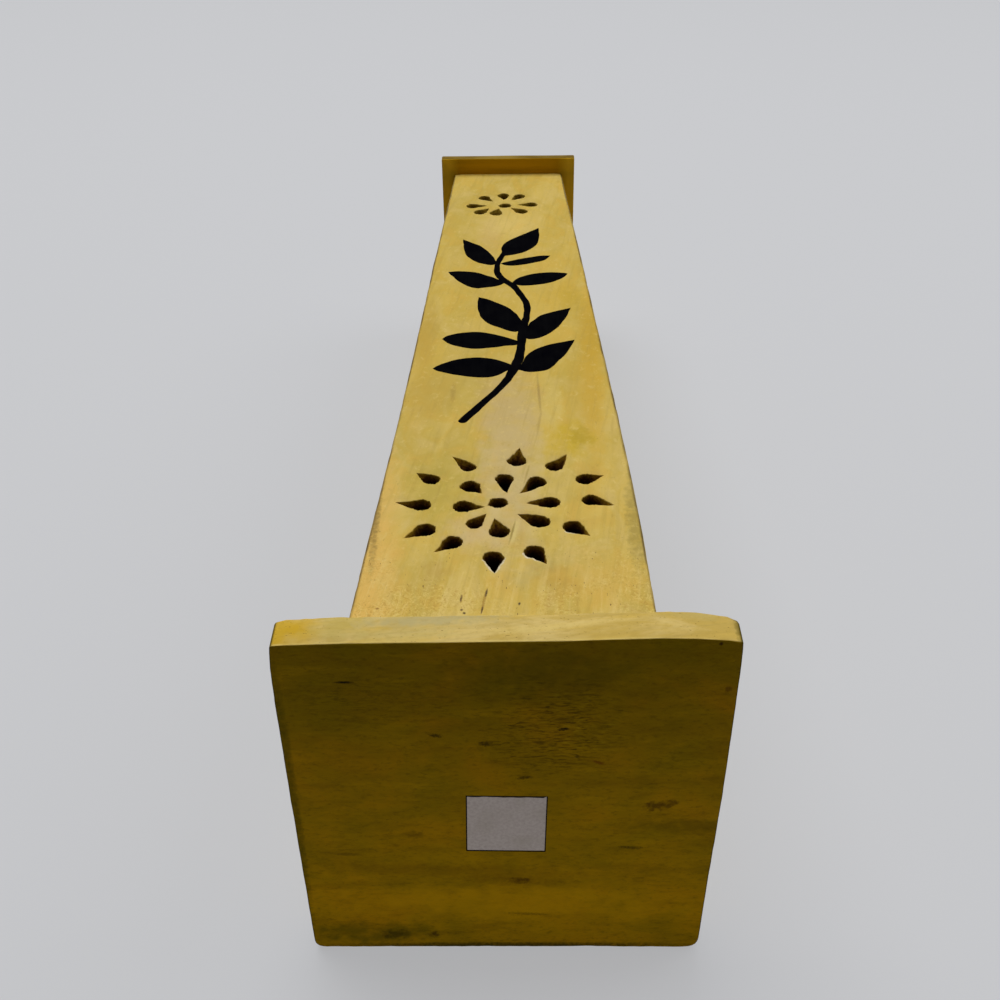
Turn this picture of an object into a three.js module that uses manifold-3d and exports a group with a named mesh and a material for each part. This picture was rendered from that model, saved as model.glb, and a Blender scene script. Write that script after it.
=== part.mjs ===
// Incense tower: four tapered boards on a square foot, with a lift-off lid.
// The lid's plug has a hole that holds a stick hanging inside the tower.
// Millimetres. +Z runs up the tower, -Y is the pierced front, and the origin
// is the middle of the foot's underside.

import * as THREE from "three";
import { mergeVertices } from "three/addons/utils/BufferGeometryUtils.js";
import Module from "manifold-3d";

const wasm = await Module();
wasm.setup();

// Clearance between a piece and the seat that is cut for it
const SEAT_GAP = 0.3;

// Foot board
const FOOT_FRONT_WIDTH = 89;
const FOOT_BACK_WIDTH = 86;
const FOOT_DEPTH = 90;
const FOOT_THICKNESS = 8;
const FOOT_EDGE_ROUND = 0.5;
const FOOT_FRONT_CORNER_RADIUS = 0.8;
const FOOT_BACK_CORNER_RADIUS = 2.2;

// Tower boards
const TOWER_HEIGHT = 292.5;
const TOWER_FOOT_WIDTH = 65;
const TOWER_TOP_WIDTH = 41.2;
const WALL_THICKNESS = 5;

// Floor block inside the tower's foot, and its two screws
const BLOCK_THICKNESS = 12;
const SCREW_SPACING = 32;
const SCREW_RADIUS = 1.6;
const SCREW_HEAD_RADIUS = 3.2;
const SCREW_HEAD_HEIGHT = 1.8;
const SCREW_BITE = 5;

// Brass ash plate and its pin
const ASH_PLATE_WIDTH = 46;
const ASH_PLATE_THICKNESS = 0.8;
const ASH_PIN_RADIUS = 0.8;
const ASH_PIN_HEAD_RADIUS = 2;
const ASH_PIN_HEAD_HEIGHT = 0.7;
const ASH_PIN_LENGTH = 8;

// Brads: round wire nails with small flat heads
const BRAD_RADIUS = 0.7;
const BRAD_HEAD_RADIUS = 1.2;
const BRAD_HEAD_HEIGHT = 0.6;
const BRAD_POINT_LENGTH = 1.5;
const BRAD_LENGTH = 13;
const BRAD_SET_DEPTH = 0.3;
const CORNER_BRADS_PER_JOINT = 4;
const CORNER_BRAD_MARGIN = 28;
const FOOT_BRAD_SPACING = 30;

// Lid
const LID_WIDTH = 50.8;
const LID_DEPTH = 53.4;
const LID_EDGE_HEIGHT = 3.3;
const LID_BEVEL_HEIGHT = 1.7;
const LID_BEVEL_INSET = 2.4;
const PLUG_DEPTH = 12;
const PLUG_CLEARANCE = 0.5;
const STICK_HOLE_RADIUS = 1.7;
const STICK_HOLE_DEPTH = 10;
const LID_BRAD_SPACING = 18;

// Paper slip under the foot
const SLIP_WIDTH = 16.2;
const SLIP_LENGTH = 16.4;
const SLIP_THICKNESS = 0.12;
const SLIP_RECESS = 0.22;
const SLIP_BACK_SHIFT = 4.6;
const SLIP_TURN_DEGREES = 1.2;

// Flat sides that stand for the round ones
const NAIL_SIDES = 12;
const SCREW_SIDES = 12;
const STICK_HOLE_SIDES = 16;
const CORNER_STEPS = 5;
const EDGE_STEPS = 2;

// Pierced flowers: where each one's middle is on the front board, and how far
// from it the farthest point of the big one is cut
const BIG_FLOWER_X = -0.4;
const BIG_FLOWER_HEIGHT = 58;
const SMALL_FLOWER_X = -1.8;
const SMALL_FLOWER_HEIGHT = 258.8;
const FLOWER_REACH = 27.6;
const PETAL_WIDTH = 4.7;
const PETAL_POINT_SLOPE = 0.45;
const PETAL_ARC_STEPS = 9;
const LEAST_POINT = 1.05;

// Each petal is cut by hand, so each has its own place: the bearing and reach of
// its round end, then of its point. Bearing 0 is right and 90 is up, in degrees.
// A reach is a share of FLOWER_REACH.
const OUTER_PETALS = [
  [81, 0.71, 82, 0.95],
  [54, 0.75, 54, 0.99],
  [29, 0.8, 27, 0.99],
  [4, 0.74, -2, 0.92],
  [-32, 0.67, -35, 0.86],
  [-71, 0.75, -68, 0.94],
  [-96, 0.79, -94, 1],
  [-126, 0.7, -128, 0.9],
  [-149, 0.75, -149, 0.95],
  [181, 0.7, 179, 0.91],
  [148, 0.75, 147, 0.92],
  [118, 0.68, 119, 0.92],
];
const INNER_PETALS = [
  [90, 0.4, 85, 0.17],
  [51, 0.45, 47, 0.22],
  [3, 0.39, 6, 0.19],
  [-43, 0.4, -52, 0.18],
  [-95, 0.42, -108, 0.24],
  [-129, 0.39, -135, 0.21],
  [186, 0.35, 199, 0.18],
  [136, 0.41, 137, 0.25],
];
const MIDDLE_HOLE = [162, 0.05, 188, 0.14];
const SMALL_PETALS = [
  [89, 0.35, 86, 0.17],
  [55, 0.38, 52, 0.19],
  [-2, 0.37, 3, 0.18],
  [-47, 0.36, -50, 0.17],
  [-106, 0.33, -110, 0.16],
  [-137, 0.41, -138, 0.22],
  [187, 0.4, 190, 0.21],
  [134, 0.36, 136, 0.18],
];
const SMALL_MIDDLE_HOLE = [-55, 0.05, -150, 0.08];

// Sizes that follow from those above
const TOWER_BOTTOM_Z = FOOT_THICKNESS;
const TOWER_TOP_Z = TOWER_BOTTOM_Z + TOWER_HEIGHT;
const BLOCK_TOP_Z = TOWER_BOTTOM_Z + BLOCK_THICKNESS;
const TAPER_PER_MM = (TOWER_FOOT_WIDTH - TOWER_TOP_WIDTH) / 2 / TOWER_HEIGHT;
const LEAN = Math.atan(TAPER_PER_MM);
const LID_THICKNESS = LID_EDGE_HEIGHT + LID_BEVEL_HEIGHT;
const CUT_OVERRUN = 2;

// Half of the tower's outer width at height z
function halfWidthAt(z) {
  return TOWER_FOOT_WIDTH / 2 - TAPER_PER_MM * (z - TOWER_BOTTOM_Z);
}

// A closed geometry as a solid that can be joined and cut
function toSolid(geometry) {
  const bare = geometry.index ? geometry.toNonIndexed() : geometry.clone();
  bare.deleteAttribute("normal");
  bare.deleteAttribute("uv");
  const merged = mergeVertices(bare, 1e-4);
  const corners = merged.index.array;
  const triangles = [];
  for (let i = 0; i < corners.length; i += 3) {
    const [a, b, c] = [corners[i], corners[i + 1], corners[i + 2]];
    if (a !== b && b !== c && c !== a) {
      triangles.push(a, b, c);
    }
  }
  return new wasm.Manifold(new wasm.Mesh({
    numProp: 3,
    vertProperties: new Float32Array(merged.attributes.position.array),
    triVerts: new Uint32Array(triangles),
  }));
}

// A solid as a geometry again
function toGeometry(solid) {
  const mesh = solid.getMesh();
  const geometry = new THREE.BufferGeometry();
  geometry.setAttribute("position", new THREE.BufferAttribute(mesh.vertProperties, 3));
  geometry.setIndex(new THREE.BufferAttribute(mesh.triVerts, 1));
  geometry.computeVertexNormals();
  return geometry;
}

function cutAll(geometry, cutters) {
  let solid = toSolid(geometry);
  for (const cutter of cutters) {
    solid = solid.subtract(toSolid(cutter));
  }
  return toGeometry(solid);
}

// A box that stands on height z
function blockOn(width, depth, height, z) {
  return new THREE.BoxGeometry(width, depth, height).translate(0, 0, z + height / 2);
}

// A square frustum between two heights, given its half widths there
function frustum(bottomHalf, topHalf, bottomZ, topZ) {
  const height = topZ - bottomZ;
  const geometry = new THREE.CylinderGeometry(
    topHalf * Math.SQRT2, bottomHalf * Math.SQRT2, height, 4, 1, false, Math.PI / 4);
  return geometry.rotateX(Math.PI / 2).translate(0, 0, bottomZ + height / 2);
}

// A turned shape, its axis on Z. The profile is a list of [radius, z].
function turned(profile, steps) {
  const points = profile.map(([radius, z]) => new THREE.Vector2(radius, z));
  return new THREE.LatheGeometry(points, steps).rotateX(Math.PI / 2);
}

// A nail along -Z with its head's top at the origin. Grown by gap, it is its own hole.
function nail(radius, headRadius, headHeight, length, pointLength, gap) {
  return turned([
    [0, -length - gap],
    [radius + gap, -length + pointLength - gap],
    [radius + gap, -headHeight - gap],
    [headRadius + gap, -headHeight - gap],
    [headRadius + gap, gap > 0 ? CUT_OVERRUN : 0],
    [0, gap > 0 ? CUT_OVERRUN : 0],
  ], NAIL_SIDES);
}

function brad(gap) {
  return nail(BRAD_RADIUS, BRAD_HEAD_RADIUS, BRAD_HEAD_HEIGHT, BRAD_LENGTH, BRAD_POINT_LENGTH, gap);
}

function ashPin(gap) {
  return nail(ASH_PIN_RADIUS, ASH_PIN_HEAD_RADIUS, ASH_PIN_HEAD_HEIGHT,
    ASH_PIN_LENGTH, BRAD_POINT_LENGTH, gap);
}

// A countersunk wood screw along -Z with its head's top at the origin
function screw(gap) {
  const length = BLOCK_THICKNESS + SCREW_BITE;
  return turned([
    [0, -length - gap],
    [SCREW_RADIUS + gap, -length + SCREW_RADIUS * 2 - gap],
    [SCREW_RADIUS + gap, -SCREW_HEAD_HEIGHT - gap],
    [SCREW_HEAD_RADIUS + gap, -gap],
    [SCREW_HEAD_RADIUS + gap, gap > 0 ? CUT_OVERRUN : 0],
    [0, gap > 0 ? CUT_OVERRUN : 0],
  ], SCREW_SIDES);
}

// Turns a nail so that it is driven along direction, with its head at a point
function driven(geometry, head, direction) {
  const from = new THREE.Vector3(0, 0, -1);
  const turn = new THREE.Quaternion().setFromUnitVectors(from, direction);
  return geometry.applyQuaternion(turn).translate(head.x, head.y, head.z);
}

// Where every brad goes: a name, its head's place and the way it is driven
function cornerBradPlaces() {
  const places = [];
  const span = TOWER_HEIGHT - 2 * CORNER_BRAD_MARGIN;
  for (const [sideName, side] of [["left", -1], ["right", 1]]) {
    for (const [faceName, face] of [["front", -1], ["back", 1]]) {
      for (let i = 0; i < CORNER_BRADS_PER_JOINT; i += 1) {
        const z = TOWER_BOTTOM_Z + CORNER_BRAD_MARGIN + span * i / (CORNER_BRADS_PER_JOINT - 1);
        const half = halfWidthAt(z);
        places.push({
          name: `corner_brad_${faceName}_${sideName}_${i + 1}`,
          head: new THREE.Vector3(
            side * (half - BRAD_SET_DEPTH), face * (half - WALL_THICKNESS / 2), z),
          direction: new THREE.Vector3(-side, 0, 0),
        });
      }
    }
  }
  return places;
}

function footBradPlaces() {
  const places = [];
  const z = TOWER_BOTTOM_Z + BLOCK_THICKNESS / 2;
  const out = halfWidthAt(z) - BRAD_SET_DEPTH;
  const walls = [["front", 0, -1], ["back", 0, 1], ["left", -1, 0], ["right", 1, 0]];
  for (const [wallName, x, y] of walls) {
    for (const side of [-1, 1]) {
      const along = side * FOOT_BRAD_SPACING / 2;
      places.push({
        name: `foot_brad_${wallName}_${side < 0 ? 1 : 2}`,
        head: new THREE.Vector3(x * out + (y ? along : 0), y * out + (x ? along : 0), z),
        direction: new THREE.Vector3(-x, -y, 0),
      });
    }
  }
  return places;
}

function lidBradPlaces() {
  const z = TOWER_TOP_Z + LID_THICKNESS - BRAD_SET_DEPTH;
  return [["left", -1], ["right", 1]].map(([name, side]) => ({
    name: `lid_brad_${name}`,
    head: new THREE.Vector3(side * LID_BRAD_SPACING / 2, 0, z),
    direction: new THREE.Vector3(0, 0, -1),
  }));
}

function screwPlaces() {
  return [["left", -1], ["right", 1]].map(([name, side]) => ({
    name: `floor_screw_${name}`,
    head: new THREE.Vector3(side * SCREW_SPACING / 2, 0, BLOCK_TOP_Z - SEAT_GAP),
    direction: new THREE.Vector3(0, 0, -1),
  }));
}

const ASH_PIN_PLACE = {
  name: "ash_plate_pin",
  head: new THREE.Vector3(0, 0, BLOCK_TOP_Z + ASH_PLATE_THICKNESS + SEAT_GAP + ASH_PIN_HEAD_HEIGHT),
  direction: new THREE.Vector3(0, 0, -1),
};

const SHELL_BRADS = [...cornerBradPlaces(), ...footBradPlaces()];
const LID_BRADS = lidBradPlaces();
const SCREWS = screwPlaces();

function holesFor(places, shape) {
  return places.map(({ head, direction }) => driven(shape(SEAT_GAP), head, direction));
}

// The foot's outline: a little narrower at the back, with rounder corners there
function footOutline() {
  const front = -FOOT_DEPTH / 2 + FOOT_EDGE_ROUND;
  const back = FOOT_DEPTH / 2 - FOOT_EDGE_ROUND;
  const frontHalf = FOOT_FRONT_WIDTH / 2 - FOOT_EDGE_ROUND;
  const backHalf = FOOT_BACK_WIDTH / 2 - FOOT_EDGE_ROUND;
  const frontRadius = FOOT_FRONT_CORNER_RADIUS;
  const backRadius = FOOT_BACK_CORNER_RADIUS;
  const shape = new THREE.Shape();
  shape.moveTo(-frontHalf + frontRadius, front);
  shape.lineTo(frontHalf - frontRadius, front);
  shape.quadraticCurveTo(frontHalf, front, frontHalf, front + frontRadius);
  shape.lineTo(backHalf, back - backRadius);
  shape.quadraticCurveTo(backHalf, back, backHalf - backRadius, back);
  shape.lineTo(-backHalf + backRadius, back);
  shape.quadraticCurveTo(-backHalf, back, -backHalf, back - backRadius);
  shape.lineTo(-frontHalf, front + frontRadius);
  shape.quadraticCurveTo(-frontHalf, front, -frontHalf + frontRadius, front);
  return shape;
}

function slipBlock(gap, bottomZ, topZ) {
  const slip = blockOn(SLIP_WIDTH + 2 * gap, SLIP_LENGTH + 2 * gap, topZ - bottomZ, bottomZ);
  slip.rotateZ(THREE.MathUtils.degToRad(SLIP_TURN_DEGREES));
  return slip.translate(0, SLIP_BACK_SHIFT, 0);
}

function basePlate() {
  const board = new THREE.ExtrudeGeometry(footOutline(), {
    depth: FOOT_THICKNESS - 2 * FOOT_EDGE_ROUND,
    bevelThickness: FOOT_EDGE_ROUND,
    bevelSize: FOOT_EDGE_ROUND,
    bevelSegments: EDGE_STEPS,
    curveSegments: CORNER_STEPS,
  });
  board.translate(0, 0, FOOT_EDGE_ROUND);
  return cutAll(board, [slipBlock(SEAT_GAP, -CUT_OVERRUN, SLIP_RECESS), ...holesFor(SCREWS, screw)]);
}

function floorBlock() {
  const inset = WALL_THICKNESS + SEAT_GAP;
  const block = frustum(halfWidthAt(TOWER_BOTTOM_Z) - inset, halfWidthAt(BLOCK_TOP_Z) - inset,
    TOWER_BOTTOM_Z, BLOCK_TOP_Z);
  return cutAll(block, [
    ...holesFor(SCREWS, screw),
    ...holesFor([ASH_PIN_PLACE], ashPin),
    ...holesFor(footBradPlaces(), brad),
  ]);
}

function ashPlate() {
  const sheet = blockOn(ASH_PLATE_WIDTH, ASH_PLATE_WIDTH, ASH_PLATE_THICKNESS, BLOCK_TOP_Z);
  const hole = new THREE.CylinderGeometry(
    ASH_PIN_RADIUS + SEAT_GAP, ASH_PIN_RADIUS + SEAT_GAP, CUT_OVERRUN * 2, NAIL_SIDES);
  return cutAll(sheet, [hole.rotateX(Math.PI / 2).translate(0, 0, BLOCK_TOP_Z)]);
}

// The quarter of the tower that lies behind one face, bounded by the mitre planes
function quarter(turn) {
  const reach = TOWER_FOOT_WIDTH;
  const wedge = new THREE.Shape([
    new THREE.Vector2(0, 0),
    new THREE.Vector2(-reach, -reach),
    new THREE.Vector2(reach, -reach),
  ]);
  const prism = new THREE.ExtrudeGeometry(wedge, {
    depth: TOWER_HEIGHT + 2 * CUT_OVERRUN,
    bevelEnabled: false,
  });
  return prism.translate(0, 0, TOWER_BOTTOM_Z - CUT_OVERRUN).rotateZ(turn);
}

function board(turn, extraCuts) {
  const low = TOWER_BOTTOM_Z;
  const high = TOWER_TOP_Z;
  const outside = toSolid(frustum(halfWidthAt(low), halfWidthAt(high), low, high));
  const inside = toSolid(frustum(
    halfWidthAt(low - CUT_OVERRUN) - WALL_THICKNESS, halfWidthAt(high + CUT_OVERRUN) - WALL_THICKNESS,
    low - CUT_OVERRUN, high + CUT_OVERRUN));
  let solid = outside.subtract(inside).intersect(toSolid(quarter(turn)));
  for (const cutter of [...holesFor(SHELL_BRADS, brad), ...extraCuts]) {
    solid = solid.subtract(toSolid(cutter));
  }
  return toGeometry(solid);
}

// A closed skin between two rings of points, both convex and of equal count
function between(lowRing, highRing) {
  const count = lowRing.length;
  const corners = [];
  for (let i = 0; i < count; i += 1) {
    const j = (i + 1) % count;
    corners.push(lowRing[i], lowRing[j], highRing[j]);
    corners.push(lowRing[i], highRing[j], highRing[i]);
  }
  for (let i = 1; i < count - 1; i += 1) {
    corners.push(lowRing[0], lowRing[i + 1], lowRing[i]);
    corners.push(highRing[0], highRing[i], highRing[i + 1]);
  }
  return new THREE.BufferGeometry().setFromPoints(corners);
}

// A place on the face, at a bearing and a reach from a flower's middle
function fromMiddle(middle, bearing, reach) {
  const angle = THREE.MathUtils.degToRad(bearing);
  const ray = new THREE.Vector2(Math.cos(angle), Math.sin(angle));
  return ray.multiplyScalar(reach * FLOWER_REACH).add(middle);
}

// One teardrop hole, in the face's own frame: x right, y up, z out of the wood.
// It is drilled round, and its point is cut at a slope that ends inside the wood.
function petalCutter(middle, [roundBearing, roundReach, pointBearing, pointReach]) {
  const radius = PETAL_WIDTH / 2;
  const centre = fromMiddle(middle, roundBearing, roundReach);
  const point = fromMiddle(middle, pointBearing, pointReach);
  const pointDistance = Math.max(centre.distanceTo(point), radius * LEAST_POINT);
  const heading = Math.atan2(point.y - centre.y, point.x - centre.x);
  const tangent = Math.acos(radius / pointDistance);
  const ring = (tipDistance, z) => {
    const points = [];
    for (let i = 0; i <= PETAL_ARC_STEPS; i += 1) {
      const angle = heading + tangent + (2 * Math.PI - 2 * tangent) * i / PETAL_ARC_STEPS;
      points.push(new THREE.Vector3(
        centre.x + radius * Math.cos(angle), centre.y + radius * Math.sin(angle), z));
    }
    points.push(new THREE.Vector3(
      centre.x + tipDistance * Math.cos(heading), centre.y + tipDistance * Math.sin(heading), z));
    return points;
  };
  const innerTip = Math.max(pointDistance * PETAL_POINT_SLOPE, radius * LEAST_POINT);
  return between(ring(innerTip, -WALL_THICKNESS - CUT_OVERRUN), ring(pointDistance, CUT_OVERRUN));
}

// Moves a cutter from the front face's own frame onto the leaning front board
function ontoFront(geometry) {
  const right = new THREE.Vector3(1, 0, 0);
  const up = new THREE.Vector3(0, Math.sin(LEAN), Math.cos(LEAN));
  const out = new THREE.Vector3(0, -Math.cos(LEAN), Math.sin(LEAN));
  const place = new THREE.Matrix4().makeBasis(right, up, out);
  place.setPosition(0, -TOWER_FOOT_WIDTH / 2, TOWER_BOTTOM_Z);
  return geometry.applyMatrix4(place);
}

function flower(x, height, petals) {
  const middle = new THREE.Vector2(x, height);
  return petals.map((petal) => ontoFront(petalCutter(middle, petal)));
}

function frontBoard() {
  return board(0, [
    ...flower(BIG_FLOWER_X, BIG_FLOWER_HEIGHT, [...OUTER_PETALS, ...INNER_PETALS, MIDDLE_HOLE]),
    ...flower(SMALL_FLOWER_X, SMALL_FLOWER_HEIGHT, [...SMALL_PETALS, SMALL_MIDDLE_HOLE]),
  ]);
}

// Lid board, a little deeper than wide: an upright edge, then a bevel up to the flat top
function lidPlate() {
  const half = LID_WIDTH / 2;
  const edgeTop = TOWER_TOP_Z + LID_EDGE_HEIGHT;
  const lidTop = TOWER_TOP_Z + LID_THICKNESS;
  const profile = [
    [0, TOWER_TOP_Z],
    [half * Math.SQRT2, TOWER_TOP_Z],
    [half * Math.SQRT2, edgeTop],
    [(half - LID_BEVEL_INSET) * Math.SQRT2, lidTop],
    [0, lidTop],
  ];
  const lid = turned(profile, 4).rotateZ(Math.PI / 4).scale(1, LID_DEPTH / LID_WIDTH, 1);
  return cutAll(lid, holesFor(LID_BRADS, brad));
}

function lidPlug() {
  const width = 2 * (halfWidthAt(TOWER_TOP_Z) - WALL_THICKNESS - PLUG_CLEARANCE);
  const block = blockOn(width, width, PLUG_DEPTH, TOWER_TOP_Z - PLUG_DEPTH);
  const hole = new THREE.CylinderGeometry(
    STICK_HOLE_RADIUS, STICK_HOLE_RADIUS, STICK_HOLE_DEPTH * 2, STICK_HOLE_SIDES);
  hole.rotateX(Math.PI / 2).translate(0, 0, TOWER_TOP_Z - PLUG_DEPTH);
  return cutAll(block, [hole, ...holesFor(LID_BRADS, brad)]);
}

// Colours and finishes
function finish(color, roughness, metalness) {
  return () => new THREE.MeshStandardMaterial({ color, roughness, metalness });
}
const YELLOW_WOOD = finish(0xc9ac50, 0.55, 0);
const FOOT_WOOD = finish(0xb89a4a, 0.6, 0);
const RAW_WOOD = finish(0xb48a55, 0.8, 0);
const BRASS = finish(0xb08d3c, 0.4, 1);
const STEEL = finish(0x8d8d8a, 0.45, 1);
const PAPER = finish(0xd8d4ca, 0.9, 0);

const incenseTower = new THREE.Group();

function add(name, geometry, material) {
  const mesh = new THREE.Mesh(geometry, material());
  mesh.name = name;
  incenseTower.add(mesh);
}

function addDriven(places, shape, material) {
  for (const { name, head, direction } of places) {
    add(name, driven(shape(0), head, direction), material);
  }
}

add("base_plate", basePlate(), FOOT_WOOD);
add("floor_block", floorBlock(), RAW_WOOD);
add("ash_plate", ashPlate(), BRASS);
add("front_panel", frontBoard(), YELLOW_WOOD);
add("right_panel", board(Math.PI / 2, []), YELLOW_WOOD);
add("back_panel", board(Math.PI, []), YELLOW_WOOD);
add("left_panel", board(-Math.PI / 2, []), YELLOW_WOOD);
add("lid_plate", lidPlate(), YELLOW_WOOD);
add("lid_plug", lidPlug(), RAW_WOOD);
add("label_slip", slipBlock(0, SLIP_RECESS - SLIP_THICKNESS, SLIP_RECESS), PAPER);
addDriven(SCREWS, screw, STEEL);
addDriven([ASH_PIN_PLACE], ashPin, BRASS);
addDriven(SHELL_BRADS, brad, STEEL);
addDriven(LID_BRADS, brad, STEEL);

export default incenseTower;
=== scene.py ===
import math

import bpy
from mathutils import Matrix, Vector, noise
from mathutils.geometry import delaunay_2d_cdt


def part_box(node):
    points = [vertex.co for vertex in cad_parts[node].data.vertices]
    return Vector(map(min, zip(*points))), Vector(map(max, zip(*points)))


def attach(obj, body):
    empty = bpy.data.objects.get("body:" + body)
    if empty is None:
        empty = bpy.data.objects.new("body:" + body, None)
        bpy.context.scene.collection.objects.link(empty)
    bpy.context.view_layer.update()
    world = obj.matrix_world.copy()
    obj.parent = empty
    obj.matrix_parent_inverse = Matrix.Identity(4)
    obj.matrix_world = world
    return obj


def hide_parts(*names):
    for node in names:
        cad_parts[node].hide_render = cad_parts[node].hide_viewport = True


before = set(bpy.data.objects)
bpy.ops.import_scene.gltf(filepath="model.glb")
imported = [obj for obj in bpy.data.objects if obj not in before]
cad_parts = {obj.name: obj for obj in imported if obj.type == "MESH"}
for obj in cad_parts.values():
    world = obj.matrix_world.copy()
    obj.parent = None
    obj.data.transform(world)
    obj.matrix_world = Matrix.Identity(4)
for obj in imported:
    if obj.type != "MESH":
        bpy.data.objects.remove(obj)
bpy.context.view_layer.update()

# Units: metres, written as millimetres
MM = 0.001

# Sizes read from the frame
foot_low, foot_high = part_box("base_plate")
wall_low, wall_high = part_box("front_panel")
lid_low, lid_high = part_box("lid_plate")
plug_low, plug_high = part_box("lid_plug")
slip_low, slip_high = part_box("label_slip")
wall_points = [v.co.copy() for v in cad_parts["front_panel"].data.vertices]
BOTTOM_HALF = wall_high.x
TOP_HALF = max(p.x for p in wall_points if p.z > wall_high.z - 0.1 * MM)
INNER_HALF = -max(p.y for p in wall_points if p.z < wall_low.z + 0.1 * MM)
WALL = BOTTOM_HALF - INNER_HALF
HEIGHT = wall_high.z - wall_low.z
TAPER = (BOTTOM_HALF - TOP_HALF) / HEIGHT

# Pierced flowers, as the construction has them: middles on the front face, and
# petals as (bearing of the round end, its reach, bearing of the point, its reach),
# in degrees and in shares of the flower's reach
FLOWER_REACH = 27.6 * MM
BIG_FLOWER = (-0.4 * MM, 58 * MM)
SMALL_FLOWER = (-1.8 * MM, 258.8 * MM)
PETAL_RADIUS = 2.35 * MM
SMALL_PETAL_SIZE = 0.92
# The big flower's twelve outer petals, its eight inner ones and its middle hole
BIG_PETALS = (
    (81, 0.71, 82, 0.95), (54, 0.75, 54, 0.99), (29, 0.80, 27, 0.99), (4, 0.74, -2, 0.92),
    (-32, 0.67, -35, 0.86), (-71, 0.75, -68, 0.94), (-96, 0.79, -94, 1.00), (-126, 0.70, -128, 0.90),
    (-149, 0.75, -149, 0.95), (181, 0.70, 179, 0.91), (148, 0.75, 147, 0.92), (118, 0.68, 119, 0.92),
    (90, 0.40, 85, 0.17), (51, 0.45, 47, 0.22), (3, 0.39, 6, 0.19), (-43, 0.40, -52, 0.18),
    (-95, 0.42, -108, 0.24), (-129, 0.39, -135, 0.21), (186, 0.35, 199, 0.18), (136, 0.41, 137, 0.25),
    (162, 0.05, 188, 0.14),
)
# The small flower's eight petals and its middle hole
SMALL_PETALS = (
    (89, 0.35, 86, 0.17), (55, 0.38, 52, 0.19), (-2, 0.37, 3, 0.18), (-47, 0.36, -50, 0.17),
    (-106, 0.33, -110, 0.16), (-137, 0.41, -138, 0.22), (187, 0.40, 190, 0.21), (134, 0.36, 136, 0.18),
    (-55, 0.05, -150, 0.08),
)

# Painted branch, on the front face in millimetres: points along its stem with the
# stem's width there, from the foot up
STEM = (
    (-11.3, 97.6, 2.4), (-6.3, 107.2, 2.2), (-2.5, 114.4, 2.1), (0.5, 121.7, 2.3), (2.2, 128.0, 2.9),
    (3.5, 134.4, 2.7), (4.1, 142.2, 2.4), (4.4, 148.0, 2.8), (5.1, 156.1, 2.4), (5.9, 162.5, 2.1),
    (5.9, 171.0, 2.0), (4.0, 178.3, 2.1), (2.0, 184.4, 2.4), (-0.6, 188.6, 2.4), (-2.9, 193.6, 2.1),
    (-3.4, 200.0, 1.9), (-2.9, 205.0, 1.9), (-1.6, 210.2, 1.8), (-1.2, 213.0, 1.4),
)
# Its leaves as closed outlines, turning left. Each starts at its base
LEAVES = (
    ((2.0, 128.3), (1.1, 129.9), (-1.0, 131.6), (-3.9, 133.4), (-8.5, 134.3), (-13.9, 133.1),
     (-17.5, 131.0), (-20.6, 127.8), (-18.9, 126.0), (-14.5, 124.0), (-9.0, 122.2), (-5.3, 122.0),
     (-2.4, 123.3), (-0.4, 125.4)),
    ((3.0, 126.5), (6.1, 125.2), (9.7, 125.6), (11.9, 127.0), (14.7, 132.0), (17.2, 137.7),
     (19.6, 145.2), (16.9, 144.1), (13.0, 142.7), (9.5, 140.4), (7.0, 137.6), (5.2, 134.0)),
    ((3.4, 144.5), (0.4, 147.0), (-2.4, 148.6), (-5.3, 150.2), (-9.5, 151.1), (-14.0, 150.4),
     (-17.2, 148.8), (-18.9, 146.4), (-16.5, 143.1), (-12.5, 140.7), (-8.1, 139.9), (-4.0, 140.6),
     (0.0, 141.8), (3.0, 142.4)),
    ((4.6, 148.0), (6.1, 146.1), (8.3, 146.3), (10.4, 147.6), (13.3, 151.0), (15.6, 155.3),
     (17.7, 161.0), (19.3, 167.8), (16.9, 166.3), (13.3, 164.6), (10.0, 162.1), (8.2, 159.4),
     (6.6, 156.5)),
    ((4.6, 153.0), (4.4, 158.4), (3.6, 161.3), (2.2, 164.9), (0.4, 168.1), (-2.5, 171.3),
     (-6.0, 174.4), (-9.0, 176.2), (-9.0, 170.0), (-8.5, 164.5), (-7.2, 159.8), (-4.6, 155.9),
     (-1.2, 153.1), (2.4, 151.0)),
    ((-0.6, 187.6), (-4.3, 191.3), (-6.2, 192.8), (-8.8, 195.0), (-12.5, 196.4), (-16.0, 197.0),
     (-19.0, 196.4), (-17.4, 192.4), (-15.2, 188.3), (-12.6, 184.8), (-9.5, 183.2), (-6.4, 183.8),
     (-2.5, 185.2)),
    ((1.2, 186.4), (4.6, 184.9), (8.5, 185.2), (12.9, 186.7), (16.0, 189.0), (18.2, 191.5),
     (19.4, 194.2), (17.2, 195.0), (12.5, 195.2), (8.3, 194.3), (5.0, 192.3), (2.6, 189.6)),
    ((-2.4, 203.0), (-0.4, 201.5), (3.5, 201.5), (8.0, 203.2), (12.0, 205.6), (14.2, 209.4),
     (11.0, 209.4), (7.5, 208.2), (4.0, 206.7), (0.8, 205.2)),
    ((-3.3, 203.2), (-4.2, 207.0), (-5.4, 211.0), (-7.2, 215.2), (-10.1, 219.6), (-15.1, 224.6),
     (-14.9, 219.0), (-14.3, 214.0), (-12.9, 208.8), (-10.4, 204.8), (-7.0, 202.4), (-4.8, 202.0)),
    ((-1.5, 209.5), (2.2, 210.6), (5.4, 212.8), (7.8, 215.6), (9.7, 219.5), (10.6, 225.0),
     (10.8, 230.0), (10.6, 234.8), (6.7, 230.3), (2.7, 226.0), (-0.5, 221.6), (-1.9, 217.0),
     (-2.0, 212.8)),
)
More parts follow.
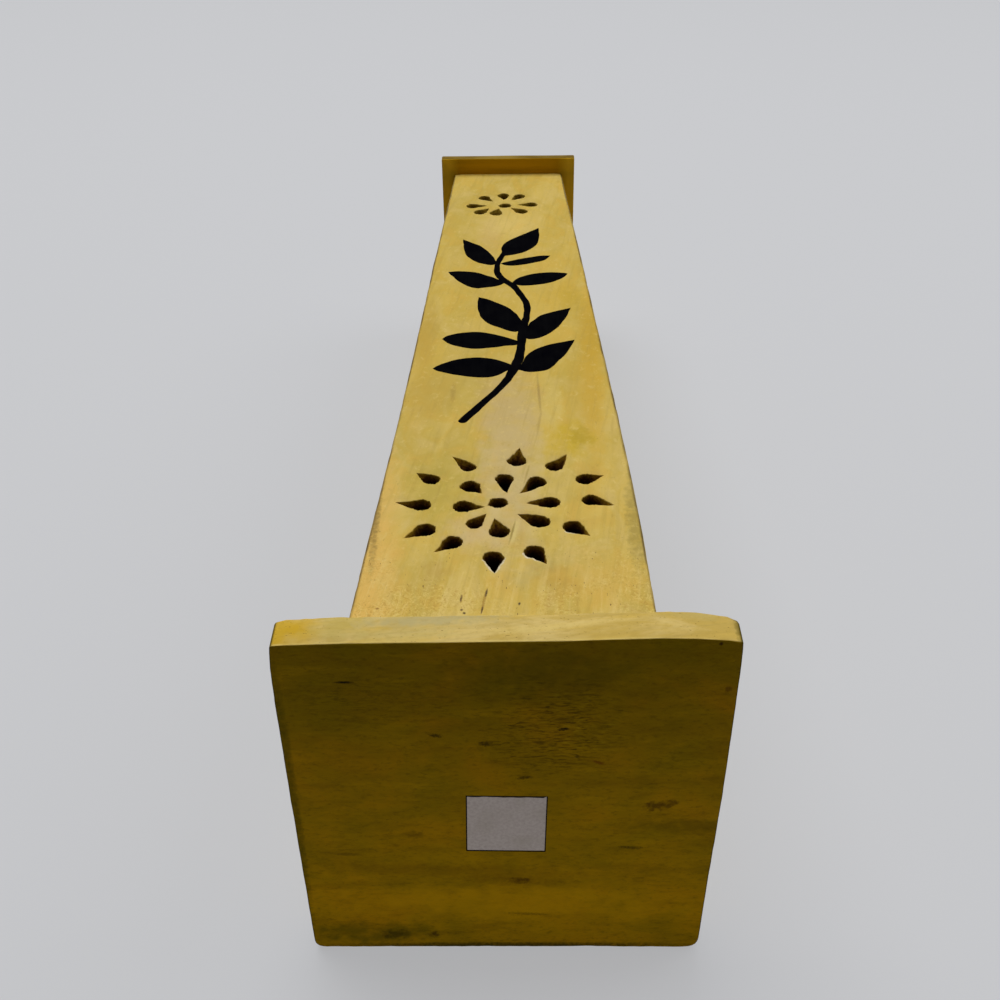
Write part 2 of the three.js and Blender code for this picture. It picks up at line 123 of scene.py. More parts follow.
# Points drawn from one of these to the next, how far the brush swayed in millimetres, and
# half of the paint's thickness
LEAF_STEPS = 6
STEM_STEPS = 5
BRUSH_SWAY = 0.22
PAINT_HALF = 0.05 * MM

# Foot board's outline in millimetres: where its left, right, front and back sides are
FOOT_LEFT = ((-45, 43.7), (-39, 44.1), (-30, 44.2), (0, 43.9), (15, 43.7), (45, 43.3))
FOOT_RIGHT = ((-45, 44.4), (-38, 44.5), (-20, 44.2), (-6, 43.95), (8, 43.55), (24, 43.0), (45, 42.4))
FOOT_FRONT = ((-44, -44.35), (-37, -44.65), (-29, -44.9), (0, -45.1), (12, -45.2), (20, -45.5),
              (29, -45.75), (36, -45.6), (41, -45.2), (45, -44.7))
FOOT_BACK = ((-44, 45.2), (20, 45.2), (36, 45.5), (44, 45.4))
# Its corners' radii, turning left from the front left, and its lower and upper edge's
FOOT_CORNERS = (0.9 * MM, 0.9 * MM, 3.0 * MM, 2.4 * MM)
FOOT_EDGES = (0.34 * MM, 0.6 * MM)

# Hand work on the tower: how far its sides stand out from the even taper, as
# (height, way out) in millimetres, and how round its long corners are
LEFT_OUT = ((0, 0.4), (35, 0.3), (60, 0.05), (95, -0.3), (150, -0.2), (200, 0.1), (262, 0.0))
RIGHT_OUT = ((0, -0.7), (18, -0.5), (45, 0.3), (70, 0.65), (110, 0.8), (150, 0.6), (215, 0.4), (262, 0.0))
CORNER_ROUND = 0.9 * MM
# By place in the big flower's list: petals that came out slim, as shares of the usual width, and
# rims where bare wood has chipped off, as (bearing from the hole's middle, half span, millimetres)
SLIM_PETALS = {0: 0.94, 1: 0.9, 5: 0.94, 10: 0.86, 11: 0.82, 17: 0.88}
CHIPS = {4: (-115, 40, 0.3), 5: (-125, 55, 0.45), 6: (-90, 95, 0.36)}

# Points over a board: rows up it, columns from its middle to a side, rows along a long edge
# in shares of its round, and points round a hole. Then how deep the face lies behind its
# node's, the soft lip of a hole, and how wide a chip is where bare wood shows
BOARD_ROWS = 96
BOARD_COLUMNS = 8
EDGE_SHARES = (0.42, 0.62, 0.85, 1.1, 2.4)
RING_POINTS = 44
FACE_DEPTH = 0.05 * MM
LIP_WIDTH = 0.22 * MM
LIP_DEPTH = 0.3 * MM
BARE_CHIP = 0.15 * MM

# Main stains of the front board, placed one by one: (middle, reach, turn, ragged rim, screen
# colour, share), with x and height above the foot in millimetres and turns in degrees
# Two narrow dark marks along the long edges are painted shade of the rounded corners
FRONT_STAINS_AND_EDGE_SHADE = (
    ((4, 180), (60, 110), 0, 0, (196, 162, 44), 0.28),
    ((-30, 34), (8, 62), 2, 0.3, (220, 176, 86), 0.75),
    ((-25, 135), (5, 60), 2, 0.3, (198, 162, 60), 0.5),
    ((-17, 64), (8, 20), 0, 0.5, (180, 158, 58), 0.6),
    ((-10, 122), (9, 24), 0, 0.4, (184, 160, 72), 0.5),
    ((1, 76), (9, 50), 0, 0.4, (200, 178, 128), 0.65),
    ((-7, 46), (8, 9), 10, 0.5, (202, 180, 140), 0.5),
    ((-6, 228), (5, 20), 0, 0.4, (196, 166, 100), 0.5),
    ((24, 135), (4, 72), -2, 0.3, (204, 162, 42), 0.7),
    ((16, 88), (7, 11), -10, 0.6, (196, 164, 30), 0.75),
    ((19, 89), (3.5, 6), 0, 0.6, (172, 144, 16), 0.6),
    ((20, 173), (4.5, 12), 0, 0.5, (184, 152, 26), 0.55),
    # Painted shade along the right long edge, where the rounded corner turns from the light
    ((29.4, 50), (2.4, 26), -2, 0.5, (150, 130, 52), 0.65),
    ((20, 28), (12, 12), 0, 0.6, (212, 172, 76), 0.5),
    ((1, 106), (11, 27), 0, 0.3, (190, 164, 106), 0.6),
    ((-20, 112), (8, 18), 0, 0, (176, 146, 56), 0.45),
    ((-14.4, 113), (0.9, 6), 0, 0.5, (158, 130, 54), 0.5),
    ((12, 108), (3.6, 16), 0, 0.4, (206, 182, 98), 0.5),
    ((21, 115), (5, 30), 0, 0, (190, 154, 46), 0.45),
    ((25, 152), (6, 26), -2, 0, (180, 146, 34), 0.5),
    ((16, 178), (7, 14), 0, 0, (196, 160, 40), 0.5),
    ((-24, 150), (5, 24), 0, 0, (178, 144, 50), 0.45),
    # Painted shade along the left long edge, where the rounded corner turns from the light
    ((-30.1, 58), (1.3, 30), 2.3, 0.4, (122, 98, 40), 0.7),
    ((0, 240), (14, 18), 0, 0, (226, 198, 120), 0.35),
    ((8, 33), (4, 5), 0, 0.4, (172, 152, 88), 0.45),
    ((11, 26), (5, 7), 0, 0.8, (188, 150, 58), 0.45),
    ((-15, 31), (4, 5), 0, 0.8, (184, 150, 60), 0.5),
    ((3, 28), (3.5, 4), 0, 0.5, (184, 166, 104), 0.4),
)
# Its cracks, a groove with a bright side, and dark pores, placed one by one in the same way
# The cracks and the groove are only colour: their dark lines are partly painted shade inside them, and the
# groove's bright side is a painted highlight
FRONT_CRACKS_WITH_PAINTED_LIGHT = (
    ((2.0, 46.2), (6.0, 0.9), 81, 0.4, (214, 194, 118), 0.6),
    ((1.5, 46.0), (5.4, 0.35), 81, 0.3, (132, 108, 26), 0.75),
    ((5.0, 71.0), (5.5, 0.35), 81, 0.4, (154, 128, 48), 0.5),
    ((-4.4, 20.4), (4.8, 0.42), 83, 0.4, (150, 112, 26), 0.7),
    ((-3.95, 23.2), (1.8, 0.3), 83, 0.3, (60, 38, 12), 0.95),
    ((-4.75, 17.4), (1.6, 0.26), 83, 0.3, (66, 42, 14), 0.95),
    ((-9.2, 21.3), (1.5, 0.3), 86, 0.4, (84, 52, 14), 0.9),
    ((-9.0, 17.4), (0.4, 0.4), 0, 0.3, (84, 52, 14), 0.9),
    ((-8.4, 16.3), (0.4, 0.5), 0, 0.3, (60, 36, 12), 0.95),
    ((3.0, 19.4), (0.65, 0.32), 80, 0.3, (40, 24, 8), 1.0),
    ((-26.5, 18.0), (0.5, 0.4), 0, 0.4, (140, 94, 26), 0.8),
    ((8.7, 112), (0.5, 13), 1.5, 0.3, (146, 120, 58), 0.55),
    ((8.4, 96), (0.5, 7), -6, 0.3, (158, 132, 66), 0.45),
)

# Stains of the foot's front edge, in the same way, with x and z
STRIP_STAINS = (
    ((-42, 4), (8, 9), 0, 0.5, (202, 162, 34), 0.85),
    ((-31, 5), (7, 5), 8, 0.6, (182, 162, 82), 0.6),
    ((-12, 7), (18, 2.8), 4, 0.5, (184, 170, 118), 0.8),
    ((-20, 2.4), (14, 2.2), 4, 0.6, (196, 176, 104), 0.5),
    ((8, 4.0), (16, 1.2), 7, 0.6, (222, 196, 118), 0.6),
    ((36, 7), (6, 2.2), 0, 0.6, (186, 164, 92), 0.6),
    ((44.2, 4), (1.2, 7), 0, 0.4, (118, 102, 40), 0.7),
)

# Bands of the underside and the dark marks on it, in the same way, with x and y
UNDER_BANDS = (
    ((-4, 30), (50, 6.5), 1.5, 0.5, (222, 168, 0), 0.55),
    ((-12, 19), (36, 2.6), 3, 0.5, (150, 110, 0), 0.5),
    ((2, 22.3), (14, 2.0), 3, 0.6, (134, 96, 0), 0.5),
    ((36, 5.5), (14, 2.6), 5, 0.6, (124, 98, 0), 0.6),
    ((8, -37), (20, 7), 0, 0.5, (112, 92, 0), 0.6),
    ((-31, 40), (17, 4.2), 0, 0.6, (112, 98, 0), 0.7),
    # Painted shade: the dark band along the back edge, where the foot meets the surface it lies on
    ((0, 44.6), (48, 1.3), 0, 0.3, (56, 54, 0), 0.85),
    ((-43.6, 0), (1.6, 50), 0, 0.4, (96, 84, 0), 0.7),
)
UNDER_MARKS = (
    ((-30.5, -35.2), (2.2, 0.36), 0, 0.3, (22, 14, 0), 1.0),
    ((-13.6, -21), (1.6, 0.6), 8, 0.5, (54, 42, 0), 0.8),
    ((-3.8, -18.7), (1.9, 0.9), 0, 0.6, (58, 40, 0), 0.8),
    ((3.8, -9.2), (1.9, 0.6), -6, 0.5, (60, 46, 0), 0.8),
    ((11.4, -22.6), (1.4, 0.5), -10, 0.5, (24, 18, 0), 0.9),
    ((18.5, -13.4), (1.8, 0.5), 25, 0.5, (120, 70, 0), 0.8),
    ((31, -0.9), (4.4, 1.6), -12, 0.7, (84, 56, 0), 0.75),
    ((26, 11.9), (3.4, 0.6), 2, 0.5, (66, 54, 0), 0.7),
    ((-19.5, 7.8), (2.6, 1.3), 8, 0.7, (112, 82, 0), 0.6),
    ((-33.5, 13.8), (3.2, 0.6), 3, 0.6, (104, 80, 0), 0.6),
    ((3.0, 22.4), (2.8, 1.2), 8, 0.7, (88, 58, 0), 0.75),
    ((4.5, 33.6), (5.5, 0.6), 4, 0.6, (120, 90, 0), 0.6),
    ((-25, 40.6), (4.0, 1.9), 0, 0.7, (70, 58, 0), 0.7),
    ((-16.4, 40.6), (1.3, 1.2), 0, 0.6, (74, 48, 0), 0.75),
    ((40.2, -44.4), (0.5, 0.5), 0, 0.3, (50, 24, 0), 0.95),
    ((42.6, -33), (0.8, 1.0), 0, 0.5, (90, 56, 0), 0.6),
)

# Paper slip: half its size in millimetres, its turn in degrees, points along each side, how
# far its front edge is torn in millimetres, and the shallow recess round it
SLIP_HALF = (8.1, 8.2)
SLIP_TURN = 1.2
SLIP_STEPS = 24
SLIP_TORN = 0.28
RECESS_GAP = 0.26 * MM
RECESS_DEPTH = 0.24 * MM

# Lid: how far it stays inside its node's box, the radii of its corners and of its lower edge,
# and its upper bevel in millimetres from the flat top to the side, as (way in, way down)
LID_GAP = 0.02 * MM
LID_CORNER = 0.5 * MM
LID_EDGE = 0.35 * MM
LID_BEVEL = ((2.6, 0), (2.38, 0.05), (2.15, 0.18), (0.3, 1.5), (0.08, 1.75), (0, 2.1))

# Plug under the lid: the radii of its corners and of its lower and upper edge, and its hole for
# the stick: radius, depth and points round it
PLUG_CORNER = 0.4 * MM
PLUG_EDGES = (0.6 * MM, 0.15 * MM)
STICK_HOLE = (1.7 * MM, 10 * MM, 28)

# Brads: radii, their head from neck to top as (share of the head's radius, z in millimetres),
# and the small recess that a head sits in
BRAD_HEAD = 1.2 * MM
BRAD_SHAFT = 0.7 * MM
BRAD_STEPS = 20
BRAD_TOP = ((0.94, -0.52), (1, -0.4), (1, -0.2), (0.9, -0.08), (0.5, -0.01))
NAIL_HOLE = BRAD_HEAD * 1.25
NAIL_HOLE_DEPTH = 0.55 * MM
NAIL_HOLE_STEPS = 18

# The photo's camera: its place, its turn from looking straight up the tower, its lens
CAMERA_PLACE = Vector((2.62, -204.29, -182.44)) * MM
CAMERA_PITCH = math.radians(34.884)
CAMERA_YAW = math.radians(0.747)
CAMERA_ROLL = math.radians(0.362)
FOCAL_PIXELS = 1302.2
FRAME_PIXELS = 1000
SENSOR = 36.0

# Stage in metres: half the floor's size, half the backdrop's width, its foot and its top, and
# the share of their look that is their own light
FLOOR_REACH = 2.0
BACKDROP_HALF, BACKDROP_LOW, BACKDROP_HIGH = 0.6, -0.5, 1.2
STAGE_GLOW = 0.66

# Lamps in metres and watts: (name, place, target, width and height, power). The last one
# stands for the light that the pale backdrop would throw back
LAMPS = (
    ("key", (-0.3, -1.4, 0.62), (0, 0, 0.12), (1.4, 1.1), 17),
    ("side", (0.9, -0.9, 0.4), (0, 0, 0.12), (0.8, 0.8), 4),
    ("rear", (0.2, 1.3, 0.8), (0, 0, 0.15), (1.2, 1.2), 12),
    ("bounce", (0, 0.06, -0.13), (0, -1, -0.13), (0.34, 0.2), 0.12),
)
# How strongly the world lights from below and from above
WORLD_BELOW, WORLD_ABOVE = 0.06, 0.42


def half_at(height):
    """Half of the tower's width at a height above the foot board."""
    return BOTTOM_HALF - TAPER * height


def wobble(x, y, z, scale, size):
    """Smooth unevenness of hand work, up to about size, over lengths of about scale."""
    return noise.noise(Vector((x, y, z)) / scale) * size


def between(table, place):
    """Straight line reading of a table of (place, value)."""
    for (low, first), (high, second) in zip(table, table[1:]):
        if place <= high:
            share = max((place - low) / (high - low), 0.0)
            return first + (second - first) * share
    return table[-1][1]


def colour(red, green, blue):
    """A colour from its 0 to 255 screen values."""
    def linear(value):
        share = value / 255
        return share / 12.92 if share <= 0.04045 else ((share + 0.055) / 1.055) ** 2.4
    return (linear(red), linear(green), linear(blue), 1.0)


class Nodes:
    """Adds shader nodes to one tree, which it empties first."""

    def __init__(self, tree):
        self.tree = tree
        tree.nodes.clear()

    def add(self, kind, inputs=(), **settings):
        """Adds a node. Each input is a number, a colour or another node's output."""
        node = self.tree.nodes.new(kind)
        for key, value in settings.items():
            setattr(node, key, value)
        for key, value in dict(inputs).items():
            if isinstance(value, bpy.types.NodeSocket):
                self.tree.links.new(value, node.inputs[key])
            else:
                node.inputs[key].default_value = value
        return node

    def math(self, operation, a, b=0.0, c=0.0, clamp=False):
        return self.add("ShaderNodeMath", {0: a, 1: b, 2: c}, operation=operation,
                        use_clamp=clamp).outputs[0]

    def times(self, a, b):
        return self.math("MULTIPLY", a, b)

    def level(self, value, low, high, to_low=0.0, to_high=1.0):
        """Takes value from the range low..high to the range to_low..to_high, and clamps it."""
        return self.add("ShaderNodeMapRange", {"Value": value, "From Min": low, "From Max": high,
                                               "To Min": to_low, "To Max": to_high}).outputs[0]

    def mix(self, share, a, b):
        return self.add("ShaderNodeMix", {0: share, 6: a, 7: b}, data_type="RGBA").outputs[2]


class Recipe(Nodes):
    """The nodes of one material, so that a surface reads as a short recipe."""

    def __init__(self, name):
        self.material = bpy.data.materials.new(name)
        self.material.use_nodes = True
        super().__init__(self.material.node_tree)
        self.place = self.add("ShaderNodeTexCoord").outputs["Object"]
        self.x, self.y, self.z = self.add("ShaderNodeSeparateXYZ", {0: self.place}).outputs

    def facing(self):
        """How far the surface faces along x, y and z."""
        normal = self.add("ShaderNodeNewGeometry").outputs["Normal"]
        return self.add("ShaderNodeSeparateXYZ", {0: normal}).outputs

    def noise(self, per_mm, detail=4.0, roughness=0.5, shift=0.0, distortion=0.0, lean=0.0):
        """Noise with its own number of bumps per millimetre along each axis. Lean turns it in
        the front plane, in degrees."""
        place = self.place
        if lean:
            place = self.add("ShaderNodeMapping", {"Vector": place,
                                                   "Rotation": (0, math.radians(lean), 0)}).outputs[0]
        stretched = self.add("ShaderNodeMapping", {"Vector": place, "Scale": [n / MM for n in per_mm],
                                                   "Location": (shift, shift * 1.7, shift * 0.6)})
        return self.add("ShaderNodeTexNoise", {"Vector": stretched.outputs[0], "Scale": 1.0,
                                               "Detail": detail, "Roughness": roughness,
                                               "Distortion": distortion}).outputs["Fac"]

    def shade(self, value, low, high, first, second):
        """A tone that goes from one screen colour to another as value goes from low to high."""
        return self.mix(self.level(value, low, high), colour(*first), colour(*second))

    def lay(self, tone, share, look):
        """Lays a screen colour over a tone."""
        return self.mix(share, tone, colour(*look))

    def tints(self, tone, *layers):
        """Lays colours over a tone. Each is (value, low, high, share, look), with none of the
        look where value is at low and the whole share where it is at high."""
        for value, low, high, share, look in layers:
            tone = self.lay(tone, self.level(value, low, high, 0.0, share), look)
        return tone

    def marks(self, tone, across, along, rows):
        """Lays marks over a tone. Each is (middle, reach, turn, ragged, look, share)."""
        for middle, reach, turn, ragged, look, share in rows:
            mask = self.spot(across, along, middle, reach, turn, ragged)
            tone = self.lay(tone, self.times(mask, share), look)
        return tone

    def spot(self, across, along, middle, reach, turn=0.0, ragged=0.0):
        """A soft oval patch: 1 at its middle, 0 from its rim outwards. Millimetres, degrees."""
        cos, sin = math.cos(math.radians(turn)), math.sin(math.radians(turn))
        wide, long = reach[0] * MM, reach[1] * MM
        a = self.math("SUBTRACT", across, middle[0] * MM)
        b = self.math("SUBTRACT", along, middle[1] * MM)
        u = self.math("MULTIPLY_ADD", a, cos / wide, self.times(b, sin / wide))
        v = self.math("MULTIPLY_ADD", b, cos / long, self.times(a, -sin / long))
        far = self.math("MULTIPLY_ADD", u, u, self.times(v, v))
        if ragged:
            fine = min(max(1.5 / min(reach), 0.25), 3.0)
            rough = self.noise((fine, fine, fine), detail=3.0, shift=middle[0])
            far = self.math("ADD", far, self.level(rough, 0.25, 0.75, -ragged, ragged))
        return self.math("SUBTRACT", 1.0, far, clamp=True)

    def bump(self, height, distance, strength=1.0):
        return self.add("ShaderNodeBump", {"Height": height, "Distance": distance,
                                           "Strength": strength}).outputs[0]

    def finish(self, **surface):
        names = {key.replace("_", " ").title(): value for key, value in surface.items()}
        names["Specular IOR Level"] = names.pop("Specular", 0.5)
        shader = self.add("ShaderNodeBsdfPrincipled", names)
        self.add("ShaderNodeOutputMaterial", {"Surface": shader.outputs[0]})
        return self.material


def board_wood(name, shift, front=False):
    """Pale wood stained yellow, blotched, with faint upright grain, and painted shade along the mitre
    joints, where the rounded long corners turn from the light.
    """
    r = Recipe(name)
    height = r.math("SUBTRACT", r.z, wall_low.z)
    lean = -8 if front else 0
    clouds = r.noise((0.045, 0.045, 0.026), roughness=0.6, shift=shift + 3)
    patches = r.noise((0.15, 0.15, 0.08), roughness=0.6, shift=shift + 21, distortion=0.8)
    mottle = r.noise((0.6, 0.6, 0.4), detail=5.0, roughness=0.7, shift=shift + 9, distortion=0.5)
    grain = r.noise((0.7, 0.7, 0.03), roughness=0.6, shift=shift, distortion=0.4, lean=lean)
    broad = r.noise((0.22, 0.22, 0.03), roughness=0.6, shift=shift + 2, distortion=0.5, lean=lean)
    tone = r.tints(r.shade(clouds, 0.4, 0.6, (204, 174, 78), (190, 164, 70)),
                   (broad, 0.5, 0.68, 0.5, (184, 158, 70)),
                   (broad, 0.48, 0.34, 0.4, (212, 184, 96)),
                   (patches, 0.46, 0.66, 0.55, (206, 180, 106)),
                   (patches, 0.5, 0.34, 0.5, (204, 164, 66)))
    if front:
        tone = r.marks(tone, r.x, height, FRONT_STAINS_AND_EDGE_SHADE)
    tone = r.tints(tone,
                   (mottle, 0.42, 0.3, 0.4, (176, 146, 52)),
                   (mottle, 0.56, 0.72, 0.5, (220, 196, 120)),
                   (grain, 0.52, 0.7, 0.26, (164, 136, 54)))
    low = r.level(height, 48 * MM, 24 * MM)
    tone = r.lay(tone, r.times(r.level(grain, 0.47, 0.36, 0.0, 0.28), low), (226, 202, 126))
    speck = r.noise((0.95, 0.95, 0.8), detail=3.0, roughness=0.7, shift=shift + 5, distortion=1.6)
    where = r.noise((0.1, 0.1, 0.08), detail=2.0, shift=shift + 15)
    where = r.times(low, r.level(where, 0.38, 0.56))
    tone = r.lay(tone, r.times(r.level(speck, 0.54, 0.64, 0.0, 0.6), where), (180, 140, 52))
    tone = r.lay(tone, r.times(r.level(speck, 0.46, 0.36, 0.0, 0.6), where), (220, 196, 112))
    pores = r.noise((2.4, 2.4, 0.9), detail=1.0, shift=shift + 7)
    pore_mask = r.times(r.level(pores, 0.73, 0.79), r.level(height, 60 * MM, 30 * MM, 0.25, 0.8))
    tone = r.lay(tone, pore_mask, (104, 70, 20))
    if front:
        tone = r.marks(tone, r.x, height, FRONT_CRACKS_WITH_PAINTED_LIGHT)
    # Painted shade: the wood darkens within a millimetre of the mitre joints, on the rounded long corners
    joint = r.add("ShaderNodeAttribute", attribute_name="joint").outputs["Fac"]
    painted_shade = r.level(r.noise((0.3, 0.3, 0.09), detail=3.0, shift=shift + 31), 0.38, 0.6, 0.25, 0.95)
    tone = r.lay(tone, r.times(r.level(joint, 0.85 * MM, 0.35 * MM), painted_shade), (66, 50, 20))
    relief = r.math("ADD", r.times(grain, 0.5), r.times(mottle, 0.8))
    relief = r.math("SUBTRACT", relief, r.times(pore_mask, 0.4))
    return r.finish(base_color=tone, specular=0.22, roughness=r.level(mottle, 0.3, 0.7, 0.52, 0.7),
                    normal=r.bump(relief, 0.1 * MM, 0.8))


def foot_wood(name):
    """Stained wood with its grain from side to side, deeper on the underside, with painted shade on the
    faces turned to the sides and the back.
    """
    r = Recipe(name)
    grain = r.noise((0.06, 0.5, 0.5), roughness=0.6, lean=7, distortion=0.6)
    clouds = r.noise((0.07, 0.07, 0.2), roughness=0.6, shift=2, distortion=0.6)
    fine = r.noise((0.6, 1.2, 1.2), roughness=0.65, shift=11, lean=9)
    speck = r.noise((1.6, 1.6, 2.4), detail=1.0, shift=4)
    tone = r.tints(r.shade(clouds, 0.4, 0.6, (216, 190, 118), (200, 170, 86)),
                   (grain, 0.5, 0.7, 0.5, (184, 160, 90)),
                   (grain, 0.48, 0.34, 0.5, (216, 184, 92)))
    tone = r.tints(r.marks(tone, r.x, r.z, STRIP_STAINS),
                   (fine, 0.5, 0.7, 0.3, (172, 142, 64)),
                   (speck, 0.7, 0.76, 0.55, (120, 88, 30)))
    facing_x, facing_y, facing_z = r.facing()
    worn = r.level(r.noise((0.12, 0.12, 0.12), detail=2.0, shift=14), 0.4, 0.6, 0.1, 0.75)
    arris = r.times(r.level(r.z, 0.6 * MM, 0.35 * MM), worn)
    tone = r.lay(tone, r.times(arris, r.level(facing_y, -0.3, -0.6)), (224, 200, 118))
    tone = r.mix(r.level(facing_z, -0.5, -0.8), tone, under_tone(r, fine))
    # Painted shade: faces turned to the sides or to the back are darkened
    sides = r.level(r.math("ABSOLUTE", facing_x), 0.2, 0.5, 0.0, 0.85)
    behind = r.level(facing_y, 0.2, 0.5, 0.0, 0.6)
    tone = r.lay(tone, r.math("MAXIMUM", sides, behind), (82, 72, 20))
    relief = r.math("ADD", grain, r.times(fine, 0.8))
    return r.finish(base_color=tone, specular=0.04, roughness=0.75, normal=r.bump(relief, 0.07 * MM))


def under_tone(r, fine):
    """Deep olive and golden stain of the underside, with dark dashes. It is painted darker to the front
    and lighter to the back, a painted light for the light that the surface the foot lies on throws back.
    """
    patch = r.noise((0.05, 0.07, 0.05), detail=5.0, roughness=0.6, shift=5, distortion=0.5)
    streaks = r.noise((0.08, 0.34, 0.3), detail=5.0, roughness=0.65, shift=6, distortion=0.4)
    speckle = r.noise((0.7, 1.5, 1.5), roughness=0.7, shift=19)
    # Painted light: lighter towards the back of the underside, darker towards the front
    tone = r.tints(r.shade(r.y, -42 * MM, 34 * MM, (150, 116, 0), (202, 152, 0)),
                   (patch, 0.42, 0.66, 0.55, (142, 120, 0)),
                   (patch, 0.46, 0.3, 0.45, (192, 134, 0)),
                   (streaks, 0.5, 0.72, 0.42, (122, 90, 0)),
                   (streaks, 0.46, 0.3, 0.25, (214, 166, 0)),
                   (speckle, 0.52, 0.7, 0.45, (96, 74, 0)),
                   (fine, 0.5, 0.72, 0.2, (100, 78, 0)))
    tone = r.marks(tone, r.x, r.y, UNDER_BANDS)
    hair = r.noise((0.45, 2.2, 2.2), detail=3.0, roughness=0.6, shift=3, distortion=0.6)
    left = r.times(r.spot(r.x, r.y, (-21, -31), (18, 9), 0, 0.5), 0.4)
    where = r.math("ADD", r.spot(r.x, r.y, (11, -23), (16, 15), -15, 0.5), left)
    where = r.math("ADD", where, r.level(patch, 0.5, 0.75, 0.0, 0.4), clamp=True)
    tone = r.lay(tone, r.times(r.level(hair, 0.5, 0.62, 0.0, 0.62), where), (54, 42, 0))
    pale = r.spot(r.x, r.y, (13, -23), (12, 12), 0, 0.4)
    tone = r.lay(tone, r.times(r.level(hair, 0.42, 0.32, 0.0, 0.4), pale), (206, 176, 30))
    return r.marks(tone, r.x, r.y, UNDER_MARKS)


def lid_wood(name):
    """The lid's stained wood, its grain from side to side, browned at its front and below, with painted
    light on its underside towards the rim and to the left and right of the tower.
    """
    r = Recipe(name)
    grain = r.noise((0.04, 0.6, 0.6), roughness=0.6, shift=4, distortion=0.4)
    clouds = r.noise((0.06, 0.08, 0.08), shift=6)
    tone = r.tints(r.shade(clouds, 0.4, 0.62, (202, 174, 84), (188, 158, 66)),
                   (grain, 0.45, 0.75, 0.45, (160, 130, 50)))
    _, facing_y, facing_z = r.facing()
    front = r.times(r.level(facing_y, -0.5, -0.9), r.level(clouds, 0.3, 0.6, 0.6, 0.9))
    tone = r.lay(tone, front, (104, 80, 16))
    beside, ahead = r.math("ABSOLUTE", r.x), r.math("ABSOLUTE", r.y)
    # Painted light: the underside grows lighter towards its rim, most to the left and right of the tower
    rim = r.level(r.math("MAXIMUM", beside, ahead), 19 * MM, 24 * MM)
    deep = r.lay(r.shade(grain, 0.4, 0.7, (180, 128, 0), (146, 104, 0)), r.times(rim, 0.5), (210, 164, 8))
    deep = r.lay(deep, r.times(r.level(beside, 19 * MM, 23 * MM), 0.9), (255, 206, 50))
    tone = r.mix(r.level(facing_z, -0.5, -0.8), tone, deep)
    return r.finish(base_color=tone, specular=0.06, roughness=0.68, normal=r.bump(grain, 0.08 * MM))


def raw_wood(name, light=(186, 144, 88), dark=(150, 108, 58)):
    """Bare sawn wood of the inner blocks."""
    r = Recipe(name)
    grain = r.noise((1.1, 1.1, 0.1), roughness=0.6)
    return r.finish(base_color=r.shade(grain, 0.35, 0.65, light, dark), specular=0.2, roughness=0.85,
                    normal=r.bump(grain, 0.12 * MM))


def bare_wood(name):
    """Unstained wood where the rim of a hole has chipped."""
    r = Recipe(name)
    rough = r.noise((1.5, 1.5, 0.6), roughness=0.7)
    tone = r.shade(rough, 0.35, 0.65, (220, 208, 176), (196, 176, 124))
    return r.finish(base_color=tone, specular=0.1, roughness=0.9, normal=r.bump(rough, 0.2 * MM))


def hole_wood(name, stained=(150, 116, 26), brown=(88, 54, 16), deep=(30, 16, 8)):
    """Inner faces of the boards: stained near the outside, darker deeper in, partly dark cut wood and
    partly painted shade of the holes and of the tower's inside.
    """
    r = Recipe(name)
    rough = r.noise((1.2, 1.2, 1.2), roughness=0.7)
    half = r.math("MULTIPLY_ADD", r.z, -TAPER, BOTTOM_HALF + TAPER * wall_low.z)
    depth = r.math("ADD", half, r.y)
    depth = r.math("ADD", depth, r.level(rough, 0.3, 0.7, -0.7 * MM, 0.7 * MM))
    # Painted shade: the tone darkens with depth into the wood, to nearly black on the inner faces
    tone = r.tints(r.shade(depth, 0.2 * MM, 1.6 * MM, stained, brown),
                   (depth, 1.5 * MM, 3.0 * MM, 1.0, deep))
    return r.finish(base_color=tone, specular=0.05, roughness=0.95, normal=r.bump(rough, 0.4 * MM))


def black_paint(name):
    """Flat black paint that lets the grain through."""
    r = Recipe(name)
    grain = r.noise((1.2, 1.2, 0.05), detail=3.0)
    dull = r.noise((0.3, 0.3, 0.2), detail=3.0, shift=3)
    relief = r.math("ADD", grain, r.times(dull, 0.5))
    return r.finish(base_color=r.shade(dull, 0.35, 0.65, (1, 1, 4), (5, 5, 7)), specular=0.01,
                    roughness=r.level(grain, 0.3, 0.7, 0.75, 0.9), normal=r.bump(relief, 0.06 * MM))


def paper(name):
    """Off-white paper with faint fibres, a little yellowed in places."""
    r = Recipe(name)
    fibre = r.noise((1.5, 1.5, 1.5))
    stain = r.noise((0.15, 0.15, 0.15), detail=2.0, shift=2)
    tone = r.tints(r.shade(fibre, 0.35, 0.7, (236, 223, 216), (218, 203, 196)),
                   (stain, 0.5, 0.7, 0.4, (206, 194, 178)))
    return r.finish(base_color=tone, specular=0.2, roughness=0.9, normal=r.bump(fibre, 0.02 * MM))


def metal(name, light, dark, roughness, tarnish=(70, 56, 38)):
    """Dull metal with darker tarnish in patches."""
    r = Recipe(name)
    fine = r.noise((1.2, 1.2, 1.2))
    patches = r.noise((0.12, 0.12, 0.12), roughness=0.65, shift=2)
    tone = r.tints(r.shade(fine, 0.35, 0.7, light, dark), (patches, 0.5, 0.66, 0.6, tarnish))
    dull = r.level(patches, 0.4, 0.65, roughness, roughness + 0.25)
    return r.finish(base_color=tone, metallic=1.0, roughness=dull, normal=r.bump(fine, 0.03 * MM))


